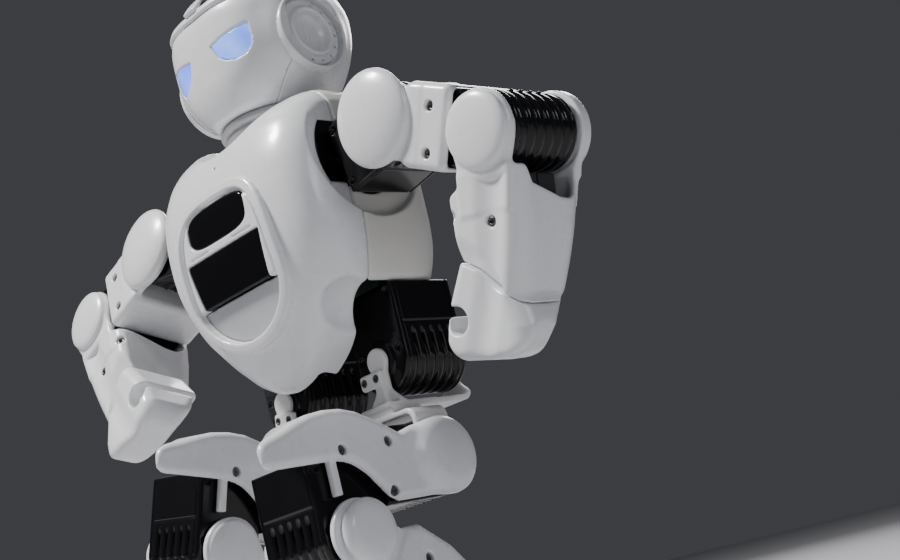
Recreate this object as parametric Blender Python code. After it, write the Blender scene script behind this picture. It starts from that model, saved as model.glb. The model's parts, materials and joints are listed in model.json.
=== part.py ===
"""Small humanoid robot kit, posed with its arms raised in a guard and its knees bent.

Metres, +Z up. The robot faces -Y, and its left side is +X. Every length below is in
millimetres and becomes metres in mm(). Heights in the torso are measured from the torso
datum, and each limb piece is drawn in the frame of its own joint: along the limb is -Z.
"""
import math

import bmesh
import bpy
from mathutils import Matrix, Vector

MM = 0.001
GAP = 0.35                      # clearance between neighbouring pieces

# Servo module, the same sixteen times
CASE_R = 15.0                   # rounded end of the case
CASE_BOX = 30.0                 # from the output axis to the flat end
CASE_HALF = 17.5                # half the case along its output axis
HORN_R = 8.0
HORN_H = 0.6
EAR_IN = CASE_HALF + HORN_H + GAP
EAR_OUT = EAR_IN + 2.5          # a fork or shell ear is this thick
WALL_IN = EAR_OUT + GAP         # shell walls that pass outside an ear
WALL_OUT = WALL_IN + 2.6
WEB_IN = CASE_R + 3.5           # a fork's web, from the servo axis
WEB_OUT = WEB_IN + 2.5
FORK_HALF = 9.0                 # half the width of a fork's strips
AXIS_STEP = 45.0                # between the two crossed axes of a yoke

# Torso, heights above the torso datum
SHOULDER_Z = 102.4
SHOULDER_Y = -1.2
SHOULDER_X = 82.4
PITCH_X = 52.0                  # where the shoulder leaves the torso
RECESS_X = 49.1                  # floor of the recess round each shoulder
SEAM_Y = -12.0                  # plane where the chest and back shells meet
BACK_BOTTOM = 48.4
SHELL = 2.0
HIP_X = 32.0
HIP_ROLL_Y = 16.0
HIP_ROLL_Z = 18.0
HIP_PITCH_Y = -2.0
BUTTON_Z = 96.0
BUTTON_R = 5.0
EAR_Y = -0.5
EAR_Z = 165.0
EAR_R = 18.0
FACE_Y = -13.0                   # the face shell ends here at its sides, and at BROW_Z above
BROW_Z = 184.0

# Arms
ARM_LENGTH = 54.0
CAP_R = 20.0                    # shoulder cap
ELBOW_CAP_R = 15.5
TAIL_DIP = 9.0                  # degrees that the shoulder servo's tail points down

# Legs
SHIN_LENGTH = 55.0
KNEE_DROP = 23.5                # knee axis below and ahead of the hip axis, left leg at rest
KNEE_AHEAD = 49.0
KNEE_CAP_R = 13.5
SOLE_DROP = 20.0                # ankle roll axis above the floor
SOLE_T = 3.0

# Rest pose, degrees
REST = {
    "left": {"pitch": 2.0, "raise": 61.8, "forearm": 12.3, "splay": 0.0, "thigh": 0.0, "shin": 52.0},
    "right": {"pitch": -16.8, "raise": 68.8, "forearm": 24.0, "splay": 8.0, "thigh": 12.5, "shin": None},
}
SIDES = (("left", 1), ("right", -1))

# z, half width, front depth, back depth
TORSO_RINGS = (
    (15, 8, 21, 5, 2.5), (17.5, 16, 24, 7, 2.5), (22, 25, 28, 12, 2.5), (31, 35, 32.5, 22, 2.7),
    (45, 45.5, 37.5, 34, 3.2), (60, 51, 40.8, 40, 3.9), (72, 53, 42.4, 41, 4.4), (84, 53.5, 43.2, 41, 4.6),
    (96, 53.5, 43, 41, 4.6), (106, 53, 41.5, 40, 4.6), (115, 52, 38.5, 38.5, 4.4), (122, 50, 35, 36.5, 4.2),
    (128, 47.5, 29.5, 33.5, 4.0), (133, 43.5, 22, 30, 3.6), (136.5, 37, 15, 25, 3.0), (138, 30, 9, 19, 2.6),
)
HEAD_RINGS = (
    (138, 21, 26, 24, 2.5), (141, 24, 27.5, 26.5, 2.5), (145, 27.8, 29.5, 29.5, 2.5), (151, 32, 31.5, 33, 2.5),
    (158, 35.5, 32.5, 36.5, 2.5), (166, 37.8, 33.2, 39.5, 2.5), (174, 38.6, 33.5, 41, 2.5),
    (182, 38, 33, 40.8, 2.5), (189, 35, 30.5, 38, 2.5), (195, 29, 25.2, 32, 2.5), (199, 20, 17, 23, 2.5),
    (201.5, 9, 8, 10, 2.5),
)

WHITE = ("shell_white", (0.80, 0.81, 0.83), 0.28, 0.0)
CREAM = ("shell_cream", (0.78, 0.77, 0.72), 0.32, 0.0)
BLACK = ("servo_black", (0.012, 0.012, 0.014), 0.22, 0.0)
GLASS = ("window_black", (0.008, 0.008, 0.009), 0.08, 0.0)
GREY = ("collar_grey", (0.35, 0.35, 0.37), 0.5, 0.0)
GLOW = ("eye_blue", (0.35, 0.55, 1.0), 0.15, 0.0)
METAL = ("frame_metal", (0.45, 0.46, 0.48), 0.38, 1.0)
BOARD = ("board_green", (0.02, 0.16, 0.07), 0.45, 0.0)
CELL = ("battery_wrap", (0.05, 0.09, 0.28), 0.4, 0.0)
RUBBER = ("sole_rubber", (0.03, 0.03, 0.032), 0.8, 0.0)


# ---------------------------------------------------------------- scene and materials

for old in list(bpy.data.objects):
    bpy.data.objects.remove(old, do_unlink=True)

parts = bpy.data.collections.new("humanoid_robot_kit")
helpers = bpy.data.collections.new("cutters")
bpy.context.scene.collection.children.link(parts)
bpy.context.scene.collection.children.link(helpers)
helpers.hide_render = True


def material(spec):
    name, colour, roughness, metallic = spec
    found = bpy.data.materials.get(name)
    if found:
        return found
    made = bpy.data.materials.new(name)
    made.use_nodes = True
    shader = made.node_tree.nodes["Principled BSDF"]
    shader.inputs["Base Color"].default_value = (*colour, 1.0)
    shader.inputs["Roughness"].default_value = roughness
    shader.inputs["Metallic"].default_value = metallic
    made.diffuse_color = (*colour, 1.0)
    return made


def mm(x, y, z):
    return Vector((x, y, z)) * MM


def frame(name, parent, at=(0, 0, 0), turn=None):
    """An empty on a joint's axis, at a place and turn in its parent's frame."""
    empty = bpy.data.objects.new(name, None)
    parts.objects.link(empty)
    empty.parent = parent
    empty.matrix_local = Matrix.Translation(mm(*at)) @ (turn or Matrix.Identity(4))
    empty.empty_display_size = 0.01
    return empty


def about(axis, degrees):
    return Matrix.Rotation(math.radians(degrees), 4, axis)


# ---------------------------------------------------------------- solids

def solid(bm, parent):
    """A helper mesh object from a bmesh in millimetres, in the frame of its parent."""
    bmesh.ops.recalc_face_normals(bm, faces=bm.faces)
    bmesh.ops.scale(bm, vec=(MM, MM, MM), verts=bm.verts)
    mesh = bpy.data.meshes.new("solid")
    bm.to_mesh(mesh)
    bm.free()
    obj = bpy.data.objects.new("solid", mesh)
    helpers.objects.link(obj)
    obj.parent = parent
    obj.hide_render = True
    obj.display_type = "WIRE"
    return obj


def round_edges(bm, radius, steps, edges=None):
    if radius > 0:
        sharp = edges or [e for e in bm.edges if e.calc_face_angle(0) > 0.6]
        bmesh.ops.bevel(bm, geom=sharp, offset=radius, segments=steps, affect="EDGES", profile=0.5,
                        clamp_overlap=True)


def block(parent, low, high, radius=0.0, steps=2):
    """A box between two corners, with rounded edges."""
    bm = bmesh.new()
    bmesh.ops.create_cube(bm, size=1.0)
    low, high = Vector(low), Vector(high)
    bmesh.ops.scale(bm, vec=high - low, verts=bm.verts)
    bmesh.ops.translate(bm, vec=(low + high) / 2, verts=bm.verts)
    round_edges(bm, radius, steps)
    return solid(bm, parent)


def along_axis(axis):
    """Turns +Z onto the named axis."""
    return {"x": Matrix.Rotation(math.pi / 2, 4, "Y"), "y": Matrix.Rotation(-math.pi / 2, 4, "X"),
            "z": Matrix.Identity(4)}[axis]


def disc(parent, axis, centre, radius, low, high, sides=18, edge=0.0, steps=3, rim=None):
    """A round bar from low to high along an axis; edge rounds the rim that is named, or both."""
    bm = bmesh.new()
    bmesh.ops.create_cone(bm, cap_ends=True, segments=sides, radius1=radius, radius2=radius, depth=high - low)
    rims = [e for e in bm.edges if abs(e.verts[0].co.z - e.verts[1].co.z) < 1e-6]
    if rim:
        rims = [e for e in rims if e.verts[0].co.z * rim > 0]
    if edge > 0:
        bmesh.ops.bevel(bm, geom=rims, offset=edge, segments=steps, affect="EDGES", profile=0.5)
    bmesh.ops.translate(bm, vec=(0, 0, (low + high) / 2), verts=bm.verts)
    bmesh.ops.transform(bm, matrix=Matrix.Translation(Vector(centre)) @ along_axis(axis), verts=bm.verts)
    return solid(bm, parent)


def cap(parent, axis, centre, radius, low, high, sides=20):
    """A domed cap whose face swells from low to high along an axis."""
    depth = high - low
    bm = bmesh.new()
    rise = ((1.0, 0.0), (1.0, 0.4), (0.88, 0.78), (0.5, 0.98))
    rings = []
    for share, height in rise:
        ring = []
        for i in range(sides):
            turn = 2 * math.pi * i / sides
            ring.append(bm.verts.new((radius * share * math.cos(turn), radius * share * math.sin(turn),
                                      low + depth * height)))
        rings.append(ring)
    bridge(bm, rings)
    place = Matrix.Translation(Vector(centre)) @ along_axis(axis)
    bmesh.ops.transform(bm, matrix=place, verts=bm.verts)
    return solid(bm, parent)


def bridge(bm, rings):
    """Joins rings of equal count into a closed skin."""
    for lower, upper in zip(rings, rings[1:]):
        count = len(lower)
        for i in range(count):
            j = (i + 1) % count
            bm.faces.new((lower[i], lower[j], upper[j], upper[i]))
    bm.faces.new(rings[0])
    bm.faces.new(rings[-1])


def prism(parent, axis, outline, low, high, radius=0.0, steps=2):
    """A flat outline extruded from low to high along x or y; its points are in the other two axes."""
    bm = bmesh.new()
    place = {"x": lambda u, v: (low, u, v), "y": lambda u, v: (u, low, v), "z": lambda u, v: (u, v, low)}[axis]
    face = bm.faces.new([bm.verts.new(place(u, v)) for u, v in outline])
    swept = bmesh.ops.extrude_face_region(bm, geom=[face])["geom"]
    step = Vector({"x": (1, 0, 0), "y": (0, 1, 0), "z": (0, 0, 1)}[axis]) * (high - low)
    bmesh.ops.translate(bm, vec=step, verts=[g for g in swept if isinstance(g, bmesh.types.BMVert)])
    bmesh.ops.recalc_face_normals(bm, faces=bm.faces)
    if radius > 0:
        index = "xyz".index(axis)
        rims = [e for e in bm.edges if abs(e.verts[0].co[index] - e.verts[1].co[index]) < 1e-6]
        round_edges(bm, radius, steps, rims)
    return solid(bm, parent)


def arc(centre, radius, start, end, steps):
    """Points round a centre, in degrees."""
    found = []
    for i in range(steps + 1):
        turn = math.radians(start + (end - start) * i / steps)
        found.append((centre[0] + radius * math.cos(turn), centre[1] + radius * math.sin(turn)))
    return found


def oval(centre, half_u, half_v, power=2.0, sides=28):
    """A superellipse outline."""
    found = []
    for i in range(sides):
        turn = 2 * math.pi * i / sides
        c, s = math.cos(turn), math.sin(turn)
        found.append((centre[0] + half_u * math.copysign(abs(c) ** (2 / power), c),
                      centre[1] + half_v * math.copysign(abs(s) ** (2 / power), s)))
    return found


def stacked(parent, rings, grow=0.0, back_power=2.5, sides=28):
    """A closed skin through rings of z, half width, front depth, back depth and how square the front is.

    The skin is grown by an offset, and back_power says how square its back is."""
    bm = bmesh.new()
    loops = []
    last = len(rings) - 1
    for index, (z, half, front, back, power) in enumerate(rings):
        lift = -grow if index == 0 else grow if index == last else 0.0
        loop = []
        for i in range(sides):
            turn = 2 * math.pi * (i + 0.5) / sides
            c, s = math.cos(turn), math.sin(turn)
            depth, square = (back + grow, back_power) if s > 0 else (front + grow, power)
            loop.append(bm.verts.new(((half + grow) * math.copysign(abs(c) ** (2 / square), c),
                                      depth * math.copysign(abs(s) ** (2 / square), s), z + lift)))
        loops.append(loop)
    bridge(bm, loops)
    return solid(bm, parent)


# ---------------------------------------------------------------- nodes

def node(name, base, spec, add=(), keep=(), cut=()):
    """Turns a helper solid into a named piece, joined with, kept inside and cut by other solids."""
    base.name = name
    base.data.name = name
    helpers.objects.unlink(base)
    parts.objects.link(base)
    base.hide_render = False
    base.display_type = "TEXTURED"
    base.data.materials.append(material(spec))
    for operation, others in (("UNION", add), ("INTERSECT", keep), ("DIFFERENCE", cut)):
        for other in others:
            step = base.modifiers.new(operation.lower(), "BOOLEAN")
            step.operation = operation
            step.solver = "EXACT"
            step.object = other
    return base


def servo_outline(radius=CASE_R, tail=CASE_BOX, half=CASE_R):
    """Round end at the origin and flat end upwards."""
    return [*arc((0, 0), radius, 180, 360, 10), (half, tail), (-half, tail)]


def servo(name, parent, axis, tail_turn=0.0, offset=0.0):
    """A servo case with its output horn and idler boss; the tail points up the axis's +Z, then turns."""
    outline = servo_outline()
    turned = []
    c, s = math.cos(math.radians(tail_turn)), math.sin(math.radians(tail_turn))
    for u, v in outline:
        turned.append((u * c - v * s, u * s + v * c))
    low, high = offset - CASE_HALF, offset + CASE_HALF
    case = prism(parent, axis, turned, low, high, 1.2, 1)
    horn = disc(parent, axis, (0, 0, 0), HORN_R, low - HORN_H, high + HORN_H, 14)
    return node(name, case, BLACK, add=(horn,))


def fork(parent, across, axis_at, web_sign):
    """The pieces of a U bracket round a servo: two ears with their strips, and the web that joins them."""
    middle = Vector(axis_at)
    arm = Vector((0, FORK_HALF, 0)) if across == "x" else Vector((FORK_HALF, 0, 0))
    out = Vector((1, 0, 0)) if across == "x" else Vector((0, 1, 0))
    pieces = []
    for low, high in ((-EAR_OUT, -EAR_IN), (EAR_IN, EAR_OUT)):
        pieces.append(disc(parent, across, axis_at, FORK_HALF + 0.5, low, high, 18))
        pieces.append(slab(parent, middle, arm, out, (low, high), (0, web_sign * WEB_OUT)))
    pieces.append(slab(parent, middle, arm, out, (-EAR_OUT, EAR_OUT), (web_sign * WEB_IN, web_sign * WEB_OUT)))
    return pieces


def slab(parent, middle, arm, out, reach, heights):
    """One flat strip of a U bracket, between two reaches outwards and two heights."""
    low = middle - arm + out * reach[0] + Vector((0, 0, min(heights)))
    high = middle + arm + out * reach[1] + Vector((0, 0, max(heights)))
    return block(parent, low, high)


# ---------------------------------------------------------------- torso and head

def egg(grow=0.0):
    """Outline of the chest panel: narrow and round below, broad above."""
    lower = arc((0, 62), 1, 180, 360, 12)
    lower = [(u * (33.5 + grow), 62 + (v - 62) * (28 + grow)) for u, v in lower]
    upper = arc((0, 0), 1, 0, 180, 10)
    upper = [((33.5 + grow) * math.copysign(abs(u) ** 0.62, u), 62 + (44 + grow) * v ** 0.62)
             for u, v in upper[1:-1]]
    return lower + upper


def upper_pane(grow=0.0):
    return oval((0, 90.5), 20 + grow, 8 + grow, 3.6, 24)


def lower_pane(grow=0.0):
    top, bottom = 78.5 + grow, 58.5 - grow
    return [(-25 - grow, top), (-22.5 - grow, bottom), (22.5 + grow, bottom), (25 + grow, top)]


def torso_skin(torso, grow=0.0):
    return stacked(torso, TORSO_RINGS, grow, 3.6)


def cavity(torso, first):
    """The hollow of the torso's shells, which ends under the neck's recess and beside the shoulders'."""
    hollow = stacked(torso, (*TORSO_RINGS[first:11], (120.9, 50.4, 35.6, 36.8, 4.2)), -SHELL, 3.6)
    for recess in shoulder_recesses(torso, SHELL):
        step = hollow.modifiers.new("recess", "BOOLEAN")
        step.operation = "DIFFERENCE"
        step.solver = "EXACT"
        step.object = recess
    return hollow


def shoulder_recesses(torso, grow=0.0):
    """Shallow round recesses in the torso's sides, where the shoulders turn."""
    found = []
    for sign in (-1, 1):
        reach = sorted((sign * (RECESS_X - grow), sign * 70))
        found.append(disc(torso, "x", (0, SHOULDER_Y, SHOULDER_Z), 28.0 + grow, *reach, 32))
    return found


def build_shells(torso):
    openings = [
        disc(torso, "z", (0, 2, 0), 18.2, 112, 130, 28), disc(torso, "z", (0, 2, 0), 23.0, 121.5, 145, 28),
        disc(torso, "y", (0, 0, 159.1), 37.6, -60, 60, 48),
    ]
    openings += shoulder_recesses(torso)
    for sign in (-1, 1):
        reach = sorted((sign * 36, sign * 70))
        openings.append(disc(torso, "x", (0, SHOULDER_Y, SHOULDER_Z), 17.5, *reach, 28))
        inner, outer = sorted((sign * 28, sign * 38))
        openings.append(block(torso, (inner, -15, 117), (outer, 20, 130)))
    chest = torso_skin(torso)
    node("chest_shell", chest, WHITE,
         keep=(block(torso, (-80, -80, 0), (80, SEAM_Y - GAP / 2, 150)),),
         cut=(cavity(torso, 1), *openings, block(torso, (-16, -20, 5), (16, 0, 23))))
    back = torso_skin(torso)
    hole = disc(torso, "y", (0, 0, BUTTON_Z), BUTTON_R + 0.5, 20, 60, 20)
    node("back_shell", back, CREAM,
         keep=(block(torso, (-80, SEAM_Y + GAP / 2, BACK_BOTTOM), (80, 80, 150)),),
         cut=(cavity(torso, 2), *openings, hole))


def build_panel(torso):
    panel = prism(torso, "y", egg(), -60, -15)
    node("chest_panel", panel, WHITE,
         keep=(torso_skin(torso, 1.9),),
         cut=(torso_skin(torso, GAP), prism(torso, "y", upper_pane(GAP), -70, -10),
              prism(torso, "y", lower_pane(GAP), -70, -10)))
    for name, outline in (("upper_window", upper_pane()), ("lower_window", lower_pane())):
        node(name, prism(torso, "y", outline, -60, -20), GLASS,
             keep=(torso_skin(torso, 1.5),), cut=(torso_skin(torso, GAP),))


def build_inside(torso):
    """Frame plate with its servo shelf, battery, control board and the torso's own servos."""
    plate = block(torso, (-30, 17.6, 50.2), (30, 19.6, 118))
    shelf = block(torso, (-37, 2, 48.4), (37, 27, 50.6))
    node("spine_frame", plate, METAL, add=(shelf,))
    node("battery", block(torso, (-24, 20.2, 54), (24, 34, 86), 2.0, 1), CELL)
    node("control_board", block(torso, (-28, -30.5, 56), (28, -28.7, 98)), BOARD)
    for side, sign in SIDES:
        hub = frame("hub_" + side, torso, (sign * 28.6, SHOULDER_Y, SHOULDER_Z))
        servo("shoulder_pitch_servo_" + side, hub, "x", 180)
        roll = frame("roll_mount_" + side, torso, (sign * HIP_X, HIP_ROLL_Y, HIP_ROLL_Z))
        servo("hip_roll_servo_" + side, roll, "y")


def build_button(torso):
    place = frame("power_button_frame", torso, (0, 39.0, BUTTON_Z))
    node("power_button", disc(place, "y", (0, 0, 0), BUTTON_R, -1.2, 3.4, 20, 0.8, 2, 1), GREY)
    return place


def eye(sign, grow=0.0):
    """A lens outline, nearly straight above and round below, that rises towards the temple."""
    points = [(8.3, 167.3), (10.8, 161.7), (14, 159.2), (18.6, 157.7), (23, 158.5), (25.7, 161.2), (26.8, 165),
              (26.9, 170.4), (16, 168.9)]
    grown = []
    for u, v in points:
        away = math.hypot(u - 20, v - 165)
        grown.append((sign * (u + grow * (u - 20) / away), v + grow * (v - 165) / away))
    return grown


def build_head(torso):
    split = frame("head_frame", torso)
    opening = disc(split, "z", (0, 2, 0), 15.5, 128, 145, 24)
    face = stacked(split, HEAD_RINGS)
    holes = [prism(split, "y", eye(sign, GAP), -70, -14) for sign in (-1, 1)]
    node("face_shell", face, WHITE,
         keep=(block(split, (-60, -60, 120), (60, FACE_Y - GAP / 2, BROW_Z - GAP / 2)),),
         cut=(stacked(split, HEAD_RINGS[1:-1], -SHELL), opening, *holes))
    head = stacked(split, HEAD_RINGS)
    node("head_shell", head, WHITE,
         cut=(stacked(split, HEAD_RINGS[1:-1], -SHELL), opening,
              block(split, (-60, -60, 120), (60, FACE_Y + GAP / 2, BROW_Z + GAP / 2))))
    crest = prism(split, "x", crest_outline(), -4.5, 4.5, 1.0, 1)
    node("head_crest", crest, WHITE, cut=(stacked(split, HEAD_RINGS, GAP),))
    for side, sign in SIDES:
        lens = prism(split, "y", eye(sign), -60, -18)
        node("eye_lens_" + side, lens, GLOW, keep=(stacked(split, HEAD_RINGS, -0.2),),
             cut=(stacked(split, HEAD_RINGS, -1.7),))
        low, high = sorted((sign * 24, sign * 39.2))
        cup = disc(split, "x", (0, EAR_Y, EAR_Z), EAR_R, low, high, 28, 2.5, 2, sign)
        dish = disc(split, "x", (0, EAR_Y, EAR_Z), 10, *sorted((sign * 37.4, sign * 45)), 24)
        node("ear_cup_" + side, cup, WHITE, cut=(stacked(split, HEAD_RINGS, GAP), dish))


def crest_outline():
    """Side profile of the ridge over the crown, in y and z."""
    outer = arc((0, 165), 1, 40, 145, 12)
    return [(-2 + 40 * u, 165 + 39.5 * (v - 165)) for u, v in outer] + [(-24, 182), (0, 196), (26, 186)]


def build_neck(torso):
    foot = disc(torso, "z", (0, 2, 0), 17.8, 119.0, 128, 28)
    rings = [disc(torso, "z", (0, 2, 0), radius, low, high, 28, 1.4, 2)
             for radius, low, high in ((22.3, 122, 130.8), (24.2, 130.5, 134.4), (26.2, 134.1, 137.6))]
    bore = disc(torso, "z", (0, 2, 0), 11, 115, 150, 20)
    node("neck_collar", foot, GREY, add=rings, cut=(bore,))


# ---------------------------------------------------------------- arms

def build_arm(side, sign, torso):
    rest = REST[side]
    shoulder = frame("shoulder_" + side, torso, (sign * PITCH_X, SHOULDER_Y, SHOULDER_Z),
                     about("X", rest["pitch"]))
    mount = frame("roll_case_" + side, shoulder, (sign * (SHOULDER_X - PITCH_X), 0, 0))
    case = servo("shoulder_roll_servo_" + side, mount, "y", sign * (90 + TAIL_DIP))
    flange = disc(shoulder, "x", (0, 0, 0), 12, *sorted((sign * -3, sign * 5)), 24)
    join = case.modifiers.new("union", "BOOLEAN")
    join.operation = "UNION"
    join.object = flange
    arm = frame("upper_arm_" + side, mount, (0, 0, 0), about("Y", -sign * rest["raise"]))
    build_upper_arm(side, sign, arm)
    bend = sign * (rest["raise"] + rest["forearm"])
    forearm = frame("forearm_" + side, arm, (0, 0, -ARM_LENGTH), about("Y", bend))
    build_forearm(side, sign, forearm)


def build_upper_arm(side, sign, arm):
    top, rim = -CASE_R - 2.6, -ARM_LENGTH + CASE_R + 0.8
    body = block(arm, (-17.5, -EAR_OUT, rim), (17.5, EAR_OUT, top), 2.5, 2)
    ears = []
    for end in (-1, 1):
        low, high = sorted((end * EAR_IN, end * EAR_OUT))
        ears.append(disc(arm, "y", (0, 0, 0), 16, low, high, 18))
        ears.append(block(arm, (-14, low, top - 5), (14, high, 0)))
    front = cap(arm, "y", (0, 0, 0), CAP_R, EAR_OUT - 0.4, 29.0)
    front.matrix_local = Matrix.Rotation(math.pi, 4, "Z")
    rear = cap(arm, "y", (0, 0, 0), 15.5, EAR_OUT - 0.4, 27.0)
    pocket = block(arm, (-CASE_R - GAP, -CASE_HALF - GAP, rim - 5), (CASE_R + GAP, CASE_HALF + GAP, top - 2.4))
    clear = disc(arm, "y", (0, 0, 0), CASE_R + 1.2, -EAR_IN, EAR_IN, 24)
    node("upper_arm_shell_" + side, body, WHITE, add=(*ears, front, rear), cut=(pocket, clear))
    elbow = frame("elbow_case_" + side, arm, (0, 0, -ARM_LENGTH))
    servo("elbow_servo_" + side, elbow, "y")


def fore_section(t):
    """Limits of the forearm at a distance below the elbow: inboard, outboard, front, rear."""
    share = min(max((t - 14) / 48, 0), 1)
    return -20.5 + 2.5 * share, 14.5 - 8.5 * share ** 1.6, -EAR_OUT, EAR_OUT - 1 - 8 * share ** 1.5


def build_forearm(side, sign, forearm):
    bm = bmesh.new()
    rings = []
    for t in (15, 26, 40, 50, 60):
        inner, outer, front, rear = fore_section(t)
        ring = []
        for u, v in oval((0, 0), 1, 1, 5.0, 20):
            x = (inner + outer) / 2 + u * (outer - inner) / 2
            y = (front + rear) / 2 + v * (rear - front) / 2
            ring.append(bm.verts.new((sign * x, y, -t)))
        rings.append(ring)
    bridge(bm, rings)
    body = solid(bm, forearm)
    ears = []
    for end, radius, height in ((-1, ELBOW_CAP_R, 27.0), (1, 16.5, 24.5)):
        low, high = sorted((end * EAR_IN, end * EAR_OUT))
        ears.append(disc(forearm, "y", (0, 0, 0), 15.1, low, high, 18))
        ears.append(block(forearm, (-13.5, low, -22), (13.5, high, 0)))
        dome = cap(forearm, "y", (0, 0, 0), radius, EAR_OUT - 0.4, height)
        if end < 0:
            dome.matrix_local = Matrix.Rotation(math.pi, 4, "Z")
        ears.append(dome)
    clear = disc(forearm, "y", (0, 0, 0), CASE_R + 1.2, -EAR_IN, EAR_IN, 24)
    hollow = block(forearm, (-13 - 3 * sign, -EAR_IN, -25), (13 - 3 * sign, EAR_IN - 0.1, 5))
    deep = block(forearm, (-10 - 4 * sign, -EAR_IN + 1, -46), (10 - 4 * sign, 12, -20))
    bevel = [(-13.8, -8), (-30, -8), (-30, -27), (-13.8, -18.3)]
    chamfer = prism(forearm, "y", [(sign * u, v) for u, v in bevel], -40, 40)
    seam = beyond_seam(forearm, sign, 0.0, -110)
    node("forearm_shell_" + side, body, WHITE, add=ears, cut=(clear, hollow, deep, chamfer, seam))
    build_hand(side, sign, forearm)


def beyond_seam(forearm, sign, drop, far):
    """The block on one side of the slanting seam where the forearm ends and the hand begins."""
    edge = [(-40, -44), (-17, -46), (0, -58), (12, -64), (40, -66)]
    return prism(forearm, "y", [(sign * u, v - drop) for u, v in edge] + [(sign * 40, far), (sign * -40, far)],
                 -60, 60)


def build_hand(side, sign, forearm):
    outline = [(-16, -44), (-23, -54), (-27.5, -60), (-30, -66), *arc((-22, -72), 10, 195, 265, 5),
               *arc((-2, -70), 13, 275, 352, 6), (12, -62), (13.5, -50), (13, -44)]
    body = prism(forearm, "y", [(sign * u, v) for u, v in outline], -EAR_OUT + 0.2, 13.5, 4.0, 2)
    grip = disc(forearm, "y", (sign * -22.5, 0, -67), 5.5, -40, 40, 24)
    lips = [(sign * u, v) for u, v in ((-22, -62.5), (-34, -59.5), (-34, -64.5), (-22, -68))]
    mouth = prism(forearm, "y", lips, -40, 40)
    bm = bmesh.new()
    rings = []
    for t, rear, corner in ((40, 13, 11), (60, 12.6, 11), (68, 8.5, 14), (76, 2.5, 16), (90, -6, 17)):
        ring = [(-45, -40), (12.4, -40), *arc((12.4 - corner, rear - corner), corner, 0, 90, 6), (-45, rear)]
        rings.append([bm.verts.new((sign * x, y, -t)) for x, y in ring])
    bridge(bm, rings)
    bmesh.ops.triangulate(bm, faces=bm.faces)
    back = solid(bm, forearm)
    node("hand_" + side, body, WHITE, keep=(back,), cut=(beyond_seam(forearm, sign, GAP, 0), grip, mouth))


# ---------------------------------------------------------------- legs

def build_leg(side, sign, torso):
    rest = REST[side]
    hip = frame("hip_" + side, torso, (sign * HIP_X, HIP_ROLL_Y, HIP_ROLL_Z), about("Y", sign * -rest["splay"]))
    pitch_y = HIP_PITCH_Y - HIP_ROLL_Y
    upper = fork(hip, "y", (0, 0, 0), -1)
    lower = fork(hip, "x", (0, pitch_y, -AXIS_STEP + 0.5), 1)
    joint = block(hip, (-FORK_HALF, pitch_y - FORK_HALF, -AXIS_STEP + WEB_IN + 1),
                  (FORK_HALF, pitch_y + FORK_HALF, -WEB_IN - 1))
    tab = block(hip, (-FORK_HALF, pitch_y - FORK_HALF, -WEB_OUT), (FORK_HALF, 0, -WEB_IN))
    node("hip_yoke_" + side, upper[0], WHITE, add=(*upper[1:], *lower, joint, tab))

    thigh = frame("thigh_" + side, hip, (0, pitch_y, -AXIS_STEP + 0.5), about("X", -rest["thigh"]))
    build_thigh(side, sign, thigh)
    knee = (0, -KNEE_AHEAD, -KNEE_DROP)
    lean = shin_lean(side)
    shin = frame("shin_" + side, thigh, knee, about("X", rest["thigh"] + lean))
    build_shin(side, sign, shin)
    ankle = frame("ankle_" + side, shin, (0, 0, -SHIN_LENGTH), about("X", -lean))
    lower = fork(ankle, "x", (0, 0, 0), -1)
    upper = fork(ankle, "y", (0, 0, -AXIS_STEP), 1)
    joint = block(ankle, (-FORK_HALF, -FORK_HALF, -AXIS_STEP + WEB_IN + 1), (FORK_HALF, FORK_HALF, -WEB_IN - 1))
    node("ankle_yoke_" + side, upper[0], WHITE, add=(*upper[1:], *lower, joint))
    foot = frame("foot_" + side, ankle, (0, 0, -AXIS_STEP), about("Y", sign * rest["splay"]))
    build_foot(side, sign, foot)


def shin_lean(side):
    """Degrees that the shin leans back from the leg's plumb line, so that both soles are level."""
    if REST[side]["shin"] is not None:
        return REST[side]["shin"]
    left_drop = KNEE_DROP + SHIN_LENGTH * math.cos(math.radians(REST["left"]["shin"]))
    plumb = AXIS_STEP - 0.5 + left_drop + AXIS_STEP
    tilt = math.radians(REST[side]["thigh"])
    knee_drop = KNEE_DROP * math.cos(tilt) - KNEE_AHEAD * math.sin(tilt)
    reach = plumb / math.cos(math.radians(REST[side]["splay"])) - 2 * AXIS_STEP + 0.5 - knee_drop
    return math.degrees(math.acos(reach / SHIN_LENGTH))


def thigh_outline(grow=0.0):
    """Side view of the thigh shell about the hip axis: hip cap behind, arch over the knee, nose in front."""
    return [
        *arc((0, 0), 15 + grow, -80, 100, 12), (-14, 13.5 + grow), (-21, 10.5 + grow), (-29, 14.5 + grow),
        (-40, 21.0 + grow), (-55, 22.5 + grow), (-70, 19.5 + grow),
        *arc((-84.5, 8.0), 6.0 + grow, 100, 185, 4), (-90.7 - grow, 2.5), (-61, 1.0),
        *arc((-KNEE_AHEAD, -KNEE_DROP), 17.0 - grow, 100, 45, 5), (-33, -14.8 - grow),
    ]


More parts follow.
